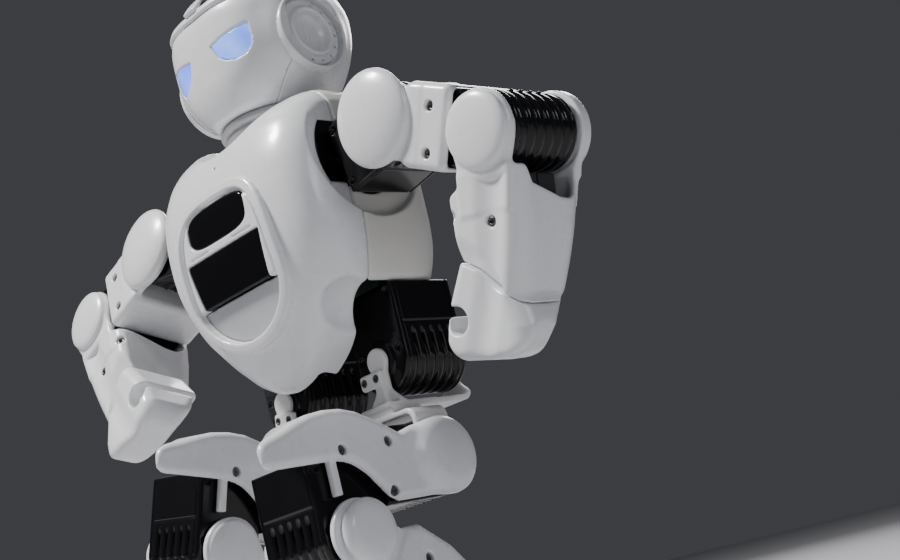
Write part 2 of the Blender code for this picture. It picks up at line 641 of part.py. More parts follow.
def build_thigh(side, sign, thigh):
    body = prism(thigh, "x", thigh_outline(), -WALL_OUT, WALL_OUT, 2.0, 2)
    room = [(-88.2, -40), (-88.2, 6), (-84.5, 11), (-70, 17), (-55, 20), (-40, 18.2), (-32.6, 13.5),
            (-32.6, 40), (40, 40), (40, -60), (-88.2, -60)]
    open_side = block(thigh, (-30, -110, -60), (-19.4, -46, 60))
    open_nose = block(thigh, (-30, -110, -60), (12, -67.5, 60))
    inside = prism(thigh, "x", room, -WALL_IN, WALL_IN)
    hip_cap = cap(thigh, "x", (0, 0, 0), 14.5, WALL_OUT - 0.5, 28.5)
    if sign < 0:
        hip_cap.matrix_local = Matrix.Rotation(math.pi, 4, "Z")
    node("thigh_shell_" + side, body, WHITE, add=(hip_cap,), cut=(inside, open_side, open_nose))
    servo("hip_pitch_servo_" + side, frame("hip_case_" + side, thigh, (0, 0, 0)), "x", 90)
    servo("knee_servo_" + side, frame("knee_case_" + side, thigh, (0, -KNEE_AHEAD, -KNEE_DROP)), "x")


def build_shin(side, sign, shin):
    ankle = -SHIN_LENGTH
    sleeve = [*arc((0, ankle), 14.0, 180, 360, 10), (17.2, ankle + 16), (16.5, -22), (12, -16.5), (-12, -16.5),
              (-16.5, -22), (-17.2, ankle + 16)]
    body = prism(shin, "x", sleeve, -WALL_OUT, WALL_OUT, 2.0, 2)
    ears = []
    for end, height in ((sign, 27.0), (-sign, 24.0)):
        low, high = sorted((end * EAR_IN, end * EAR_OUT))
        ears.append(disc(shin, "x", (0, 0, 0), KNEE_CAP_R - 0.4, low, high, 18))
        ears.append(block(shin, (low, -11, -24), (high, 11, 0)))
        dome = cap(shin, "x", (0, 0, 0), KNEE_CAP_R, EAR_OUT - 0.4, height)
        if end < 0:
            dome.matrix_local = Matrix.Rotation(math.pi, 4, "Z")
        ears.append(dome)
    box = block(shin, (-CASE_HALF - GAP, -CASE_R - GAP, -80), (CASE_HALF + GAP, CASE_R + GAP, -24.2))
    swing = block(shin, (-WALL_IN, -30, -80), (WALL_IN, 30, ankle + 15.5))
    clear = disc(shin, "x", (0, 0, 0), CASE_R + 1.2, -EAR_IN, EAR_IN, 24)
    node("shin_shell_" + side, body, WHITE, add=ears, cut=(box, swing, clear))
    servo("ankle_pitch_servo_" + side, frame("ankle_case_" + side, shin, (0, 0, ankle)), "x")


def foot_outline(sign, shrink=0.0):
    """Top view of the foot about the ankle: a rounded shoe, wider on its outer side."""
    found = []
    for u, v in oval((0, 0), 1, 1, 3.4, 24):
        half = (37.5 if u > 0 else 27.5) - shrink
        toe = 1 - 0.10 * max(-v, 0)
        found.append((sign * half * u * toe, -11.5 + (53.5 - shrink) * v))
    return found


def foot_skin(foot, sign, levels):
    bm = bmesh.new()
    rings = []
    for z, shrink, rake in levels:
        rings.append([bm.verts.new((x, y, z - rake * max(-y - 20, 0))) for x, y in foot_outline(sign, shrink)])
    bridge(bm, rings)
    return solid(bm, foot)


def build_foot(side, sign, foot):
    floor = -SOLE_DROP
    base = floor + SOLE_T + GAP
    body = foot_skin(foot, sign, ((base, 0.0, 0), (base + 6, 0.6, 0), (base + 12, 3.0, 0.067),
                                  (base + 19, 7.0, 0.178), (base + 21, 11.0, 0.2)))
    hollow = foot_skin(foot, sign, ((base - 5, 2.4, 0), (base + 5, 3.0, 0), (base + 10, 5.6, 0.067),
                                    (base + 16.8, 9.6, 0.178), (base + 18.6, 13.0, 0.2)))
    low, high = sorted((sign * -19, sign * 32))
    well = block(foot, (low, -EAR_OUT - 3, base - 2), (high, EAR_OUT + 3, 40), 3, 2)
    node("foot_shell_" + side, body, WHITE, cut=(hollow, well))
    servo("ankle_roll_servo_" + side, frame("foot_case_" + side, foot, (0, 0, 0)), "y", -sign * 90)
    sole = prism(foot, "z", foot_outline(sign, 0.8), floor, floor + SOLE_T, 0.8, 1)
    node("foot_sole_" + side, sole, RUBBER)


# ---------------------------------------------------------------- assembly

def stand_on_floor(root):
    """Moves the robot so that the middle of its footprint box is the origin and its soles are at z = 0."""
    bpy.context.view_layer.update()
    graph = bpy.context.evaluated_depsgraph_get()
    low, high = Vector((1e9,) * 3), Vector((-1e9,) * 3)
    for obj in parts.objects:
        if obj.type != "MESH":
            continue
        mesh = obj.evaluated_get(graph).to_mesh()
        for vertex in mesh.vertices:
            point = obj.matrix_world @ vertex.co
            low = Vector(map(min, low, point))
            high = Vector(map(max, high, point))
    root.location = (-(low.x + high.x) / 2, -(low.y + high.y) / 2, -low.z)
    bpy.context.view_layer.update()


torso_frame = frame("torso", None)
build_shells(torso_frame)
build_panel(torso_frame)
build_inside(torso_frame)
build_button(torso_frame)
build_neck(torso_frame)
build_head(torso_frame)
for side_name, side_sign in SIDES:
    build_arm(side_name, side_sign, torso_frame)
    build_leg(side_name, side_sign, torso_frame)
stand_on_floor(torso_frame)
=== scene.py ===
"""Looks of the small humanoid robot kit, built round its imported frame.

The frame gives every joint's place and axis. Each shell is drawn as a distance field in the
frame of its own joint, in millimetres, for the robot's left side, and meshed at a fine pitch;
the right side is its mirror, apart from the thigh covers, which are alike on both sides.
Along a limb is -Z, outboard is +X, and the robot faces -Y.
"""
import functools
import json
import math

import bpy
import numpy as np
import openvdb
from mathutils import Matrix, Vector


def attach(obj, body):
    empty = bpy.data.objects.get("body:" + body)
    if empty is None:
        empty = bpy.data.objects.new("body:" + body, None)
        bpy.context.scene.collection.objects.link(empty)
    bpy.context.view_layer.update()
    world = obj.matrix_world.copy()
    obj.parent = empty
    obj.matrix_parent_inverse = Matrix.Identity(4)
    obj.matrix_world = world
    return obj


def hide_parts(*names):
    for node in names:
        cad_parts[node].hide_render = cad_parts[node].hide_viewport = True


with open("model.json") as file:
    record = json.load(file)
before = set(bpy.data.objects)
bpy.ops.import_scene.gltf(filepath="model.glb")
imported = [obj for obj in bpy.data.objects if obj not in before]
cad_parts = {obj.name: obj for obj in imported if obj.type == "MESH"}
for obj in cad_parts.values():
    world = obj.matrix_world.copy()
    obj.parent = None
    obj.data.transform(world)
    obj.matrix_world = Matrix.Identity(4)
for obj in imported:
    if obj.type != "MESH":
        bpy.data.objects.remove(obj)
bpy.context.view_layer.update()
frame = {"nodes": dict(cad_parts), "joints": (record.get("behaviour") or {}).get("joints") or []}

MM = 0.001
GAP = 0.35
JOINTS = {joint["name"]: joint for joint in frame["joints"]}
SIDES = (("left", 1), ("right", -1))

# Driving sizes, the same as the frame's
CASE_R = 15.0
CASE_BOX = 30.0
CASE_HALF = 17.5
EAR_IN = 18.45
EAR_OUT = 20.95
WALL_IN = 21.3
WALL_OUT = 23.9
WEB_IN = 18.5
WEB_OUT = 21.0
ARM_LENGTH = 54.0
CAP_R = 20.0
SHIN_LENGTH = 55.0
KNEE = (0.0, -49.0, -23.5)      # knee axis from the hip axis, in the thigh's frame
KNEE_CAP_R = 13.5
SOLE_DROP = 20.0
SHOULDER_Y = -1.2
SHOULDER_Z = 102.4
SEAM_Y = -12.0
BACK_BOTTOM = 48.4
WALL = 2.2                      # thickness of the moulded shells
RECESS_R = 28.0                 # the round recess that a shoulder's servo swings in
RECESS_FLOOR = 49.1
PLATE_R = 24.0                  # the black plate at its bottom, painted shade, and its ends from the shoulder's axis
PLATE_LOW = -13.0
PLATE_TOP = 14.0
NECK_Y = 2.0
HIP_ROLL = (0.0, 16.0, 18.0)
EAR_Y = -0.5
EAR_Z = 165.0
FACE_Y = -13.0
BROW_Z = 184.0
HALF_SEAM = 0.06                # half the seam between the face and the helmet
GROOVE_Z = 190.5                # the helmet's groove under its visor bar
BUTTON_Z = 96.0
FOREARM_LEAN = {"left": 12.3, "right": 24.0}
TAIL_DIP = 9.0

# Sections of the torso and the head: z, half width, front depth, back depth, how square the front is
TORSO_RINGS = (
    (15, 8, 21, 5, 2.5), (17.5, 16, 24, 7, 2.5), (22, 25, 28, 12, 2.5), (31, 35, 32.5, 22, 2.7),
    (45, 45.5, 37.5, 34, 3.2), (60, 51, 40.8, 40, 3.9), (72, 53, 42.4, 41, 4.4), (84, 53.5, 43.2, 41, 4.6),
    (96, 53.5, 43, 41, 4.6), (106, 53, 41.5, 40, 4.6), (115, 52, 38.5, 38.5, 4.4), (122, 50, 35, 36.5, 4.2),
    (128, 47.5, 29.5, 33.5, 4.0), (133, 43.5, 22, 30, 3.6), (136.5, 37, 15, 25, 3.0), (138, 30, 9, 19, 2.6),
)
HEAD_RINGS = (
    (138, 21, 26, 24, 2.5), (141, 24, 27.5, 26.5, 2.5), (145, 27.8, 29.5, 29.5, 2.5), (151, 32, 31.5, 33, 2.5),
    (158, 35.5, 32.5, 36.5, 2.5), (166, 37.8, 33.2, 39.5, 2.5), (174, 38.6, 33.5, 41, 2.5),
    (182, 38, 33, 40.8, 2.5), (189, 35, 30.5, 38, 2.5), (195, 29, 25.2, 32, 2.5), (199, 20, 17, 23, 2.5),
    (201.5, 9, 8, 10, 2.5),
)


# ---- distance fields

def union(a, b, k=0.0):
    """The nearer of two surfaces, with a fillet of about k."""
    if k <= 0:
        return np.minimum(a, b)
    mix = np.maximum(k - abs(a - b), 0) / k
    return np.minimum(a, b) - mix * mix * k / 4


def both(a, b, k=0.0):
    """What two bodies share, its edge rounded by about k."""
    return -union(-a, -b, k)


def cut(a, b, k=0.0):
    """The first body without the second."""
    return both(a, -b, k)


def common(*bodies):
    """What all the bodies share, with sharp edges."""
    return functools.reduce(np.maximum, bodies)


def round_edge(a, b, r):
    """Distance to two sides that meet in an edge rounded by r."""
    return np.hypot(np.maximum(a, 0), np.maximum(b, 0)) + np.minimum(np.maximum(a, b), 0) - r


def lift(flat_distance, along, low, high, r):
    """A flat outline's distance made a bar from low to high, with rims rounded by r."""
    across = flat_distance + r
    end = abs(along - (low + high) / 2) - (high - low) / 2 + r
    return round_edge(across, end, r)


def box(p, low, high, r=0.0):
    sides = [abs(c - (a + b) / 2) - (b - a) / 2 + r for c, a, b in zip(p, low, high)]
    outside = sum(np.maximum(side, 0) ** 2 for side in sides)
    inside = np.minimum(np.maximum(np.maximum(sides[0], sides[1]), sides[2]), 0)
    return np.sqrt(outside) + inside - r


def pick(p, axis):
    """The two coordinates across an axis, and the one along it."""
    i = "xyz".index(axis)
    u, v = [p[j] for j in range(3) if j != i]
    return u, v, p[i]


def rod(p, axis, centre, radius, low, high, r=0.0):
    u, v, w = pick(p, axis)
    return lift(np.hypot(u - centre[0], v - centre[1]) - radius, w, low, high, r)


def ball(p, centre, radius):
    return np.sqrt(sum((c - m) ** 2 for c, m in zip(p, centre))) - radius


def ellipsoid(p, centre, radii):
    scaled = [(c - m) / r for c, m, r in zip(p, centre, radii)]
    k0 = np.sqrt(sum(s * s for s in scaled))
    k1 = np.sqrt(sum((s / r) ** 2 for s, r in zip(scaled, radii)))
    return k0 * (k0 - 1) / np.maximum(k1, 1e-6)


def flat(u, v, points):
    """Signed distance to a closed outline."""
    best, inside = 1e9, 1.0
    for (au, av), (bu, bv) in zip(points, [*points[1:], points[0]]):
        eu, ev = bu - au, bv - av
        wu, wv = u - au, v - av
        share = np.clip((wu * eu + wv * ev) / (eu * eu + ev * ev), 0, 1)
        best = np.minimum(best, (wu - eu * share) ** 2 + (wv - ev * share) ** 2)
        left, below, above = eu * wv > ev * wu, v >= av, v < bv
        inside = np.where((left & below & above) | ~(left | below | above), -inside, inside)
    return inside * np.sqrt(best)


def plate(p, axis, points, low, high, r=0.0, swell=0.0):
    """A flat outline extruded along an axis; swell grows it and rounds its corners."""
    u, v, w = pick(p, axis)
    return lift(flat(u, v, points) - swell, w, low, high, r)


def turned(p, axis, centre, profile, r=0.0):
    """A profile of radius and place along an axis, turned round it."""
    u, v, w = pick(p, axis)
    return flat(np.hypot(u - centre[0], v - centre[1]), w, profile) - r


def arc(centre, radius, start, end, steps):
    found = []
    for i in range(steps + 1):
        turn = math.radians(start + (end - start) * i / steps)
        found.append((centre[0] + radius * math.cos(turn), centre[1] + radius * math.sin(turn)))
    return found


def ease(value, low, high):
    """0 below low, 1 above high, smooth between."""
    share = np.clip((value - low) / (high - low), 0, 1)
    return share * share * (3 - 2 * share)


def through(z, heights, values):
    """A smooth curve through values given at rising heights."""
    heights, values = np.array(heights, float), np.array(values, float)
    slopes = np.gradient(values, heights)
    z = np.clip(z, heights[0], heights[-1])
    i = np.clip(np.searchsorted(heights, z) - 1, 0, len(heights) - 2)
    step = heights[i + 1] - heights[i]
    t = (z - heights[i]) / step
    t2, t3 = t * t, t * t * t
    return ((2 * t3 - 3 * t2 + 1) * values[i] + (t3 - 2 * t2 + t) * step * slopes[i]
            + (3 * t2 - 2 * t3) * values[i + 1] + (t3 - t2) * step * slopes[i + 1])


def skin(p, rings, back_power):
    """Distance to a body lofted through rings, from a superellipse field and its slope."""
    heights, halves, fronts, backs, powers = zip(*rings)

    def field(x, y, z):
        half = np.maximum(through(z, heights, halves), 0.5)
        depth = np.where(y < 0, through(z, heights, fronts), through(z, heights, backs))
        power = np.where(y < 0, through(z, heights, powers), back_power)
        u, v = abs(x) / half, abs(y) / np.maximum(depth, 0.5)
        return (u ** power + v ** power + 1e-9) ** (1 / power) - 1

    x, y, z = p
    step = 0.05
    value = field(x, y, z)
    slope = [(field(x + step, y, z) - value) / step, (field(x, y + step, z) - value) / step,
             (field(x, y, z + step) - value) / step]
    side = value / np.maximum(np.sqrt(sum(s * s for s in slope)), 1e-3)
    return both(side, np.maximum(z - heights[-1], heights[0] - z), 3.0)


def torso_skin(p):
    return skin(p, TORSO_RINGS, 3.6)


def head_skin(p):
    return skin(p, HEAD_RINGS, 2.5)


# ---- meshes

PITCH = 0.62     # voxel size


def settle(points, field, voxel):
    """Moves meshed points onto the true surface."""
    for _ in range(2):
        columns = [np.ascontiguousarray(points[:, i]) for i in range(3)]
        value = field(columns)
        slope = np.zeros_like(points)
        step = 0.2 * voxel
        for i in range(3):
            moved = list(columns)
            moved[i] = columns[i] + step
            slope[:, i] = (field(moved) - value) / step
        size = np.maximum((slope ** 2).sum(1), 0.25)
        points = points - slope * (np.clip(value, -0.6 * voxel, 0.6 * voxel) / size)[:, None]
    return points


def mesh_from(name, field, low, high, voxel=1.0):
    """Meshes a distance field inside a box given in millimetres."""
    voxel *= PITCH
    axes = [np.arange(a - 2 * voxel, b + 3 * voxel, voxel, dtype=np.float64) for a, b in zip(low, high)]
    grid_point = (axes[0][:, None, None], axes[1][None, :, None], axes[2][None, None, :])
    values = np.broadcast_to(field(grid_point), [len(a) for a in axes])
    grid = openvdb.FloatGrid(3 * voxel)
    grid.copyFromArray(np.clip(values, -3 * voxel, 3 * voxel).astype(np.float32))
    points, quads = grid.convertToQuads(isovalue=0.0)
    points = points.astype(np.float64) * voxel + [a[0] for a in axes]
    points = settle(points, field, voxel)
    corner = points[quads]
    across = np.cross(corner[:, 2] - corner[:, 0], corner[:, 3] - corner[:, 1])
    if (corner[:, 0] * across).sum() < 0:
        quads = quads[:, ::-1]
    return mesh_of(name, points, quads)


def mesh_of(name, points, quads):
    mesh = bpy.data.meshes.new(name)
    mesh.vertices.add(len(points))
    mesh.vertices.foreach_set("co", (points * MM).astype(np.float32).ravel())
    mesh.loops.add(quads.size)
    mesh.loops.foreach_set("vertex_index", quads.astype(np.int32).ravel())
    mesh.polygons.add(len(quads))
    mesh.polygons.foreach_set("loop_start", np.arange(0, quads.size, 4, dtype=np.int32))
    mesh.polygons.foreach_set("loop_total", np.full(len(quads), 4, np.int32))
    mesh.update(calc_edges=True)
    mesh.validate()
    mesh.shade_smooth()
    return mesh


def mirrored(mesh):
    """The right side's copy of a left piece's mesh."""
    made = mesh.copy()
    made.transform(Matrix.Scale(-1, 4, (1, 0, 0)))
    made.flip_normals()
    return made


def sided(mesh, sign):
    return mesh if sign > 0 else mirrored(mesh)


def added(name, data):
    """A new object of the scene."""
    made = bpy.data.objects.new(name, data)
    bpy.context.scene.collection.objects.link(made)
    return made


def place(name, mesh, at, body, paint, replaced=()):
    """Puts a mesh at a frame, ties it to its body, gives it its paint's slot and hides the CAD nodes it
    replaces.
    """
    if not mesh.materials:
        mesh.materials.append(paint)
    piece = added(name, mesh)
    piece.matrix_world = at
    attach(piece, body)
    if replaced:
        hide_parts(*replaced)
    return piece


# ---- frames of the joints

def spot(name):
    return Vector(JOINTS[name]["pos_m"])


def line(name, sign=1):
    return Vector(JOINTS[name]["axis"]) * sign


def basis(origin, x=None, y=None, z=None):
    """A frame from an origin and two of its axes."""
    if x is None:
        x = y.cross(z)
    if y is None:
        y = z.cross(x)
    if z is None:
        z = x.cross(y)
    x, y, z = x.normalized(), y.normalized(), z.normalized()
    turn = Matrix((x, y, z)).transposed().to_4x4()
    return Matrix.Translation(origin) @ turn


def limb_frames(side, sign):
    """The frames that a side's pieces are drawn in, by body name."""
    shoulder = basis(spot("shoulder_pitch_" + side), x=line("shoulder_pitch_" + side, -1),
                     y=line("shoulder_roll_" + side, -sign))
    roll = Matrix.Translation(spot("shoulder_roll_" + side)) @ shoulder.to_3x3().to_4x4()
    elbow = spot("elbow_" + side)
    upper = basis(roll.translation, y=line("elbow_" + side, sign), z=roll.translation - elbow)
    forearm = (Matrix.Translation(elbow) @ shoulder.to_3x3().to_4x4()
               @ Matrix.Rotation(math.radians(sign * FOREARM_LEAN[side]), 4, "Y"))
    hip = basis(spot("hip_roll_" + side), x=line("hip_pitch_" + side, -1), y=line("hip_roll_" + side, -1))
    pitch, knee, ankle = (spot(name + side) for name in ("hip_pitch_", "knee_", "ankle_pitch_"))
    across = line("hip_pitch_" + side, -1).normalized()
    reach = (knee - pitch).normalized()
    lean = math.atan2(KNEE[2], -KNEE[1])            # the knee offset's angle above the thigh's -Y
    forward = Matrix.Rotation(lean, 3, across) @ reach
    thigh = basis(pitch, x=across, y=-forward)
    shin = basis(knee, x=line("knee_" + side), z=knee - ankle)
    ankle_frame = basis(ankle, x=line("ankle_pitch_" + side, -1), y=line("ankle_roll_" + side, -sign))
    foot = Matrix.Translation(spot("ankle_roll_" + side))
    return {"shoulder": shoulder, "roll": roll, "upper_arm": upper, "forearm": forearm, "hip": hip,
            "thigh": thigh, "shin": shin, "ankle": ankle_frame, "foot": foot}


hips = (spot("hip_roll_left") + spot("hip_roll_right")) / 2
TORSO = Matrix.Translation(hips - Vector(HIP_ROLL) * MM)
LIMBS = {side: limb_frames(side, sign) for side, sign in SIDES}


def shift(x, y, z):
    return Matrix.Translation(Vector((x, y, z)) * MM)


def turn(axis, degrees):
    return Matrix.Rotation(math.radians(degrees), 4, axis)


# ---- materials


def new_material(name):
    made = bpy.data.materials.new(name)
    made.use_nodes = True
    tree = made.node_tree
    return made, tree, tree.nodes["Principled BSDF"]


def put(node, values):
    """Sets a node's inputs by their names."""
    for key, value in values.items():
        node.inputs[key].default_value = value


def noise_at(tree, scale, detail=3.0):
    place_in = tree.nodes.new("ShaderNodeTexCoord")
    noise = tree.nodes.new("ShaderNodeTexNoise")
    put(noise, {"Scale": scale, "Detail": detail})
    tree.links.new(place_in.outputs["Object"], noise.inputs["Vector"])
    return noise.outputs["Fac"]


def ranged(tree, value, low, high, start=0.3, end=0.7):
    node = tree.nodes.new("ShaderNodeMapRange")
    put(node, {"From Min": start, "From Max": end, "To Min": low, "To Max": high})
    tree.links.new(value, node.inputs["Value"])
    return node.outputs["Result"]


def blended(tree, value, first, second):
    node = tree.nodes.new("ShaderNodeMix")
    node.data_type = "RGBA"
    tree.links.new(value, node.inputs["Factor"])
    put(node, {"A": (*first, 1), "B": (*second, 1)})
    return node.outputs["Result"]


def bumped(tree, shader, value, strength, distance):
    node = tree.nodes.new("ShaderNodeBump")
    put(node, {"Strength": strength, "Distance": distance})
    tree.links.new(value, node.inputs["Height"])
    tree.links.new(node.outputs["Normal"], shader.inputs["Normal"])


def moulded(name, first, second, rough, coat=0.0, grain=900.0, depth=0.05, metallic=0.0, shine=0.5):
    """Moulded plastic: a faint drift of colour, uneven gloss and a fine surface ripple."""
    made, tree, shader = new_material(name)
    drift = noise_at(tree, 14.0)
    tree.links.new(blended(tree, drift, first, second), shader.inputs["Base Color"])
    tree.links.new(ranged(tree, noise_at(tree, 120.0), *rough), shader.inputs["Roughness"])
    put(shader, {"Metallic": metallic, "Coat Weight": coat, "Coat Roughness": 0.08,
                 "Specular IOR Level": shine})
    bumped(tree, shader, noise_at(tree, grain, 2.0), depth, 0.00012)
    return made


WHITE = moulded("shell_white", (0.72, 0.73, 0.755), (0.765, 0.77, 0.79), (0.24, 0.34), coat=0.25)
CREAM = moulded("shell_cream", (0.70, 0.69, 0.655), (0.745, 0.735, 0.70), (0.28, 0.4), coat=0.15)
BLACK = moulded("servo_black", (0.004, 0.004, 0.005), (0.007, 0.007, 0.008), (0.12, 0.22), coat=0.05,
                shine=0.32)
DULL = moulded("bracket_dark", (0.02, 0.02, 0.022), (0.034, 0.034, 0.036), (0.4, 0.55), shine=0.3)
GLASS = moulded("window_black", (0.004, 0.004, 0.005), (0.006, 0.006, 0.007), (0.08, 0.14), depth=0.01,
                shine=0.18)
GREY = moulded("collar_grey", (0.34, 0.34, 0.36), (0.40, 0.40, 0.42), (0.38, 0.5))
# grey for the floor of the chest panel's pocket: painted shade in the recess
POCKET_SHADE = moulded("pocket_painted_shade", (0.47, 0.475, 0.50), (0.53, 0.535, 0.56), (0.3, 0.4))
SCREW = moulded("screw_steel", (0.10, 0.10, 0.105), (0.16, 0.16, 0.165), (0.28, 0.42), metallic=1.0)
STRIP = moulded("bracket_white", (0.80, 0.80, 0.80), (0.84, 0.84, 0.84), (0.3, 0.42), coat=0.1)
RUBBER = moulded("sole_rubber", (0.025, 0.025, 0.027), (0.035, 0.035, 0.037), (0.7, 0.85), grain=1500,
                 depth=0.3)
METAL = moulded("frame_metal", (0.42, 0.43, 0.45), (0.5, 0.51, 0.53), (0.3, 0.42), metallic=1.0)
CELL = moulded("battery_wrap", (0.04, 0.07, 0.24), (0.06, 0.1, 0.3), (0.3, 0.45))


def lit_lens():
    """A clear blue lens with a light behind it, paler in its middle."""
    made, tree, shader = new_material("eye_blue")
    put(shader, {"Roughness": 0.12, "Coat Weight": 0.5, "Emission Strength": 1.15})
    tint = blended(tree, ranged(tree, noise_at(tree, 45.0), 0, 1), (0.03, 0.11, 0.85), (0.22, 0.38, 1.0))
    tree.links.new(tint, shader.inputs["Base Color"])
    tree.links.new(tint, shader.inputs["Emission Color"])
    return made


def circuit():
    """A green board with brighter tracks."""
    made, tree, shader = new_material("board_green")
    cells = tree.nodes.new("ShaderNodeTexBrick")
    put(cells, {"Scale": 160.0, "Mortar Size": 0.03, "Color1": (0.015, 0.13, 0.06, 1),
                "Color2": (0.02, 0.16, 0.07, 1), "Mortar": (0.05, 0.28, 0.12, 1)})
    where = tree.nodes.new("ShaderNodeTexCoord")
    tree.links.new(where.outputs["Object"], cells.inputs["Vector"])
    tree.links.new(cells.outputs["Color"], shader.inputs["Base Color"])
    put(shader, {"Roughness": 0.4})
    return made


GLOW = lit_lens()
BOARD = circuit()


# ---- screws

def screw_field(p):
    """A pan head with a hexagon socket, its seat at y = 0 and its head towards -y."""
    x, y, z = p
    head = rod(p, "y", (0, 0), 1.75, -1.15, 0.6, 0.35)
    hexagon = np.maximum(abs(x), abs(x) * 0.5 + abs(z) * 0.866) - 0.8
    return cut(head, common(hexagon, abs(y + 1.2) - 0.7), 0.1)


screw_mesh = mesh_from("screw", screw_field, (-2, -1.4, -2), (2, 0.8, 2), 0.34)


def screws(name, at, body, seats):
    """Screws of one shell, joined in one piece: seats give a place and the way the head faces."""
    points, quads, count = [], [], 0
    base = np.empty(len(screw_mesh.vertices) * 3, np.float32)
    screw_mesh.vertices.foreach_get("co", base)
    base = base.reshape(-1, 3)
    loops = np.empty(len(screw_mesh.loops), np.int32)
    screw_mesh.loops.foreach_get("vertex_index", loops)
    for centre, facing in seats:
        spin = Vector((0, -1, 0)).rotation_difference(Vector(facing)).to_matrix()
        points.append(base @ np.array(spin).T / MM + np.array(centre))
        quads.append(loops.reshape(-1, 4) + count)
        count += len(base)
    mesh = mesh_of(name, np.concatenate(points), np.concatenate(quads))
    return place(name, mesh, at, body, SCREW)


def holes(body, p, seats, radius=2.05, depth=3.2):
    """Screw holes with a softened rim, sunk behind each seat's face."""
    for centre, facing in seats:
        run = np.array(facing, float)
        across = sum((c - m) * f for c, m, f in zip(p, centre, run))
        radial = np.sqrt(np.maximum(sum((c - m) ** 2 for c, m in zip(p, centre)) - across ** 2, 0))
        body = cut(body, common(radial - radius, -across - depth), 0.5)
    return body


# ---- servo modules

RIB_STEP = 5.2


def servo_field(p):
    """A servo case, axis along y, tail up: ribbed round end, seams, horn bosses and screw pockets."""
    x, y, z = p
    outline = union(np.hypot(x, z) - CASE_R, box((x, z, 0 * x), (-CASE_R, 0, -1), (CASE_R, CASE_BOX, 1)))
    wave = abs(np.cos(np.pi * y / RIB_STEP)) ** 5
    rib = 1.25 * wave * (1 - ease(z, 7.0, 11.0)) * (1 - ease(abs(y), 13.2, 14.4))
    body = lift(outline + rib, y, -CASE_HALF, CASE_HALF, 1.5)
    seam = common(abs(abs(y) - 14.9) - 0.25, -(outline + 0.6))
    body = cut(body, seam, 0.2)
    shelf = common(abs(z - 12.5) - 0.3, -(outline + 0.5))
    body = cut(body, common(shelf, abs(y) - 14.6), 0.2)
    body = union(body, rod(p, "y", (0, 0), 8.0, -CASE_HALF - 0.6, CASE_HALF + 0.6, 0.3), 0.4)
    for angle in (-8, 22, 158, 188):
        cx, cz = 14.8 * math.cos(math.radians(angle)), 14.8 * math.sin(math.radians(angle))
        along = abs(np.mod(y, RIB_STEP) - RIB_STEP / 2)
        pin = np.sqrt((x - cx) ** 2 + (z - cz) ** 2 + along ** 2) - 0.9
        body = union(body, common(pin, abs(y) - 12.6), 0.2)
    for cz in (26.6, 3.0):
        well = common(np.hypot(abs(x) - 11.6, z - cz) - 1.6, CASE_HALF - 1.2 - abs(y))
        body = cut(body, well, 0.25)
    socket = box((x, abs(y), z), (-5, 3.0, CASE_BOX - 2.5), (5, 8.5, CASE_BOX + 2), 0.3)
    return cut(body, socket, 0.2)


def build_servos():
    mesh = mesh_from("servo", servo_field, (-16, -18.5, -16), (16, 18.5, 31), 0.95)
    back = turn("X", 180)
    for side, sign in SIDES:
        at = LIMBS[side]
        seats = {
            "shoulder_pitch_servo_": ("torso", TORSO @ shift(sign * 28.6, SHOULDER_Y, SHOULDER_Z)
                                      @ back @ turn("Z", 90)),
            "hip_roll_servo_": ("torso", TORSO @ shift(sign * 32.0, HIP_ROLL[1], HIP_ROLL[2])),
            "shoulder_roll_servo_": ("shoulder_" + side, at["roll"] @ turn("Y", -sign * (90 + TAIL_DIP))),
            "elbow_servo_": ("upper_arm_" + side, at["upper_arm"] @ shift(0, 0, -ARM_LENGTH)),
            "hip_pitch_servo_": ("thigh_" + side, at["thigh"] @ turn("X", 90) @ turn("Z", 90)),
            "knee_servo_": ("thigh_" + side, at["thigh"] @ shift(*KNEE) @ turn("Z", 90)),
            "ankle_pitch_servo_": ("shin_" + side, at["shin"] @ shift(0, 0, -SHIN_LENGTH) @ turn("Z", 90)),
            "ankle_roll_servo_": ("foot_" + side, at["foot"] @ turn("Y", sign * 90)),
        }
        for name, (body, matrix) in seats.items():
            place(name + "case_" + side, mesh, matrix, body, BLACK, [name + side])


build_servos()


# ---- torso

def egg(swell=0.0):
    """Outline of the chest panel: narrow and round below, broad above."""
    lower = [(u * (33.5 + swell), 62 + (v - 62) * (28 + swell)) for u, v in arc((0, 62), 1, 180, 360, 18)]
    upper = [((33.5 + swell) * math.copysign(abs(u) ** 0.62, u), 62 + (44 + swell) * v ** 0.62)
             for u, v in arc((0, 0), 1, 0, 180, 20)[1:-1]]
    return lower + upper


def pane(x, z, which, swell=0.0):
    """Outline of a window: a superellipse above, a tapered block below."""
    if which == "upper":
        u, v = abs(x / (20 + swell)), abs((z - 90.5) / (8 + swell))
        return (u ** 3.6 + v ** 3.6 + 1e-9) ** (1 / 3.6) * 8 - 8
    return flat(x, z, [(-24.2, 77.7), (-21.8, 59.3), (21.8, 59.3), (24.2, 77.7)]) - 0.8 - swell


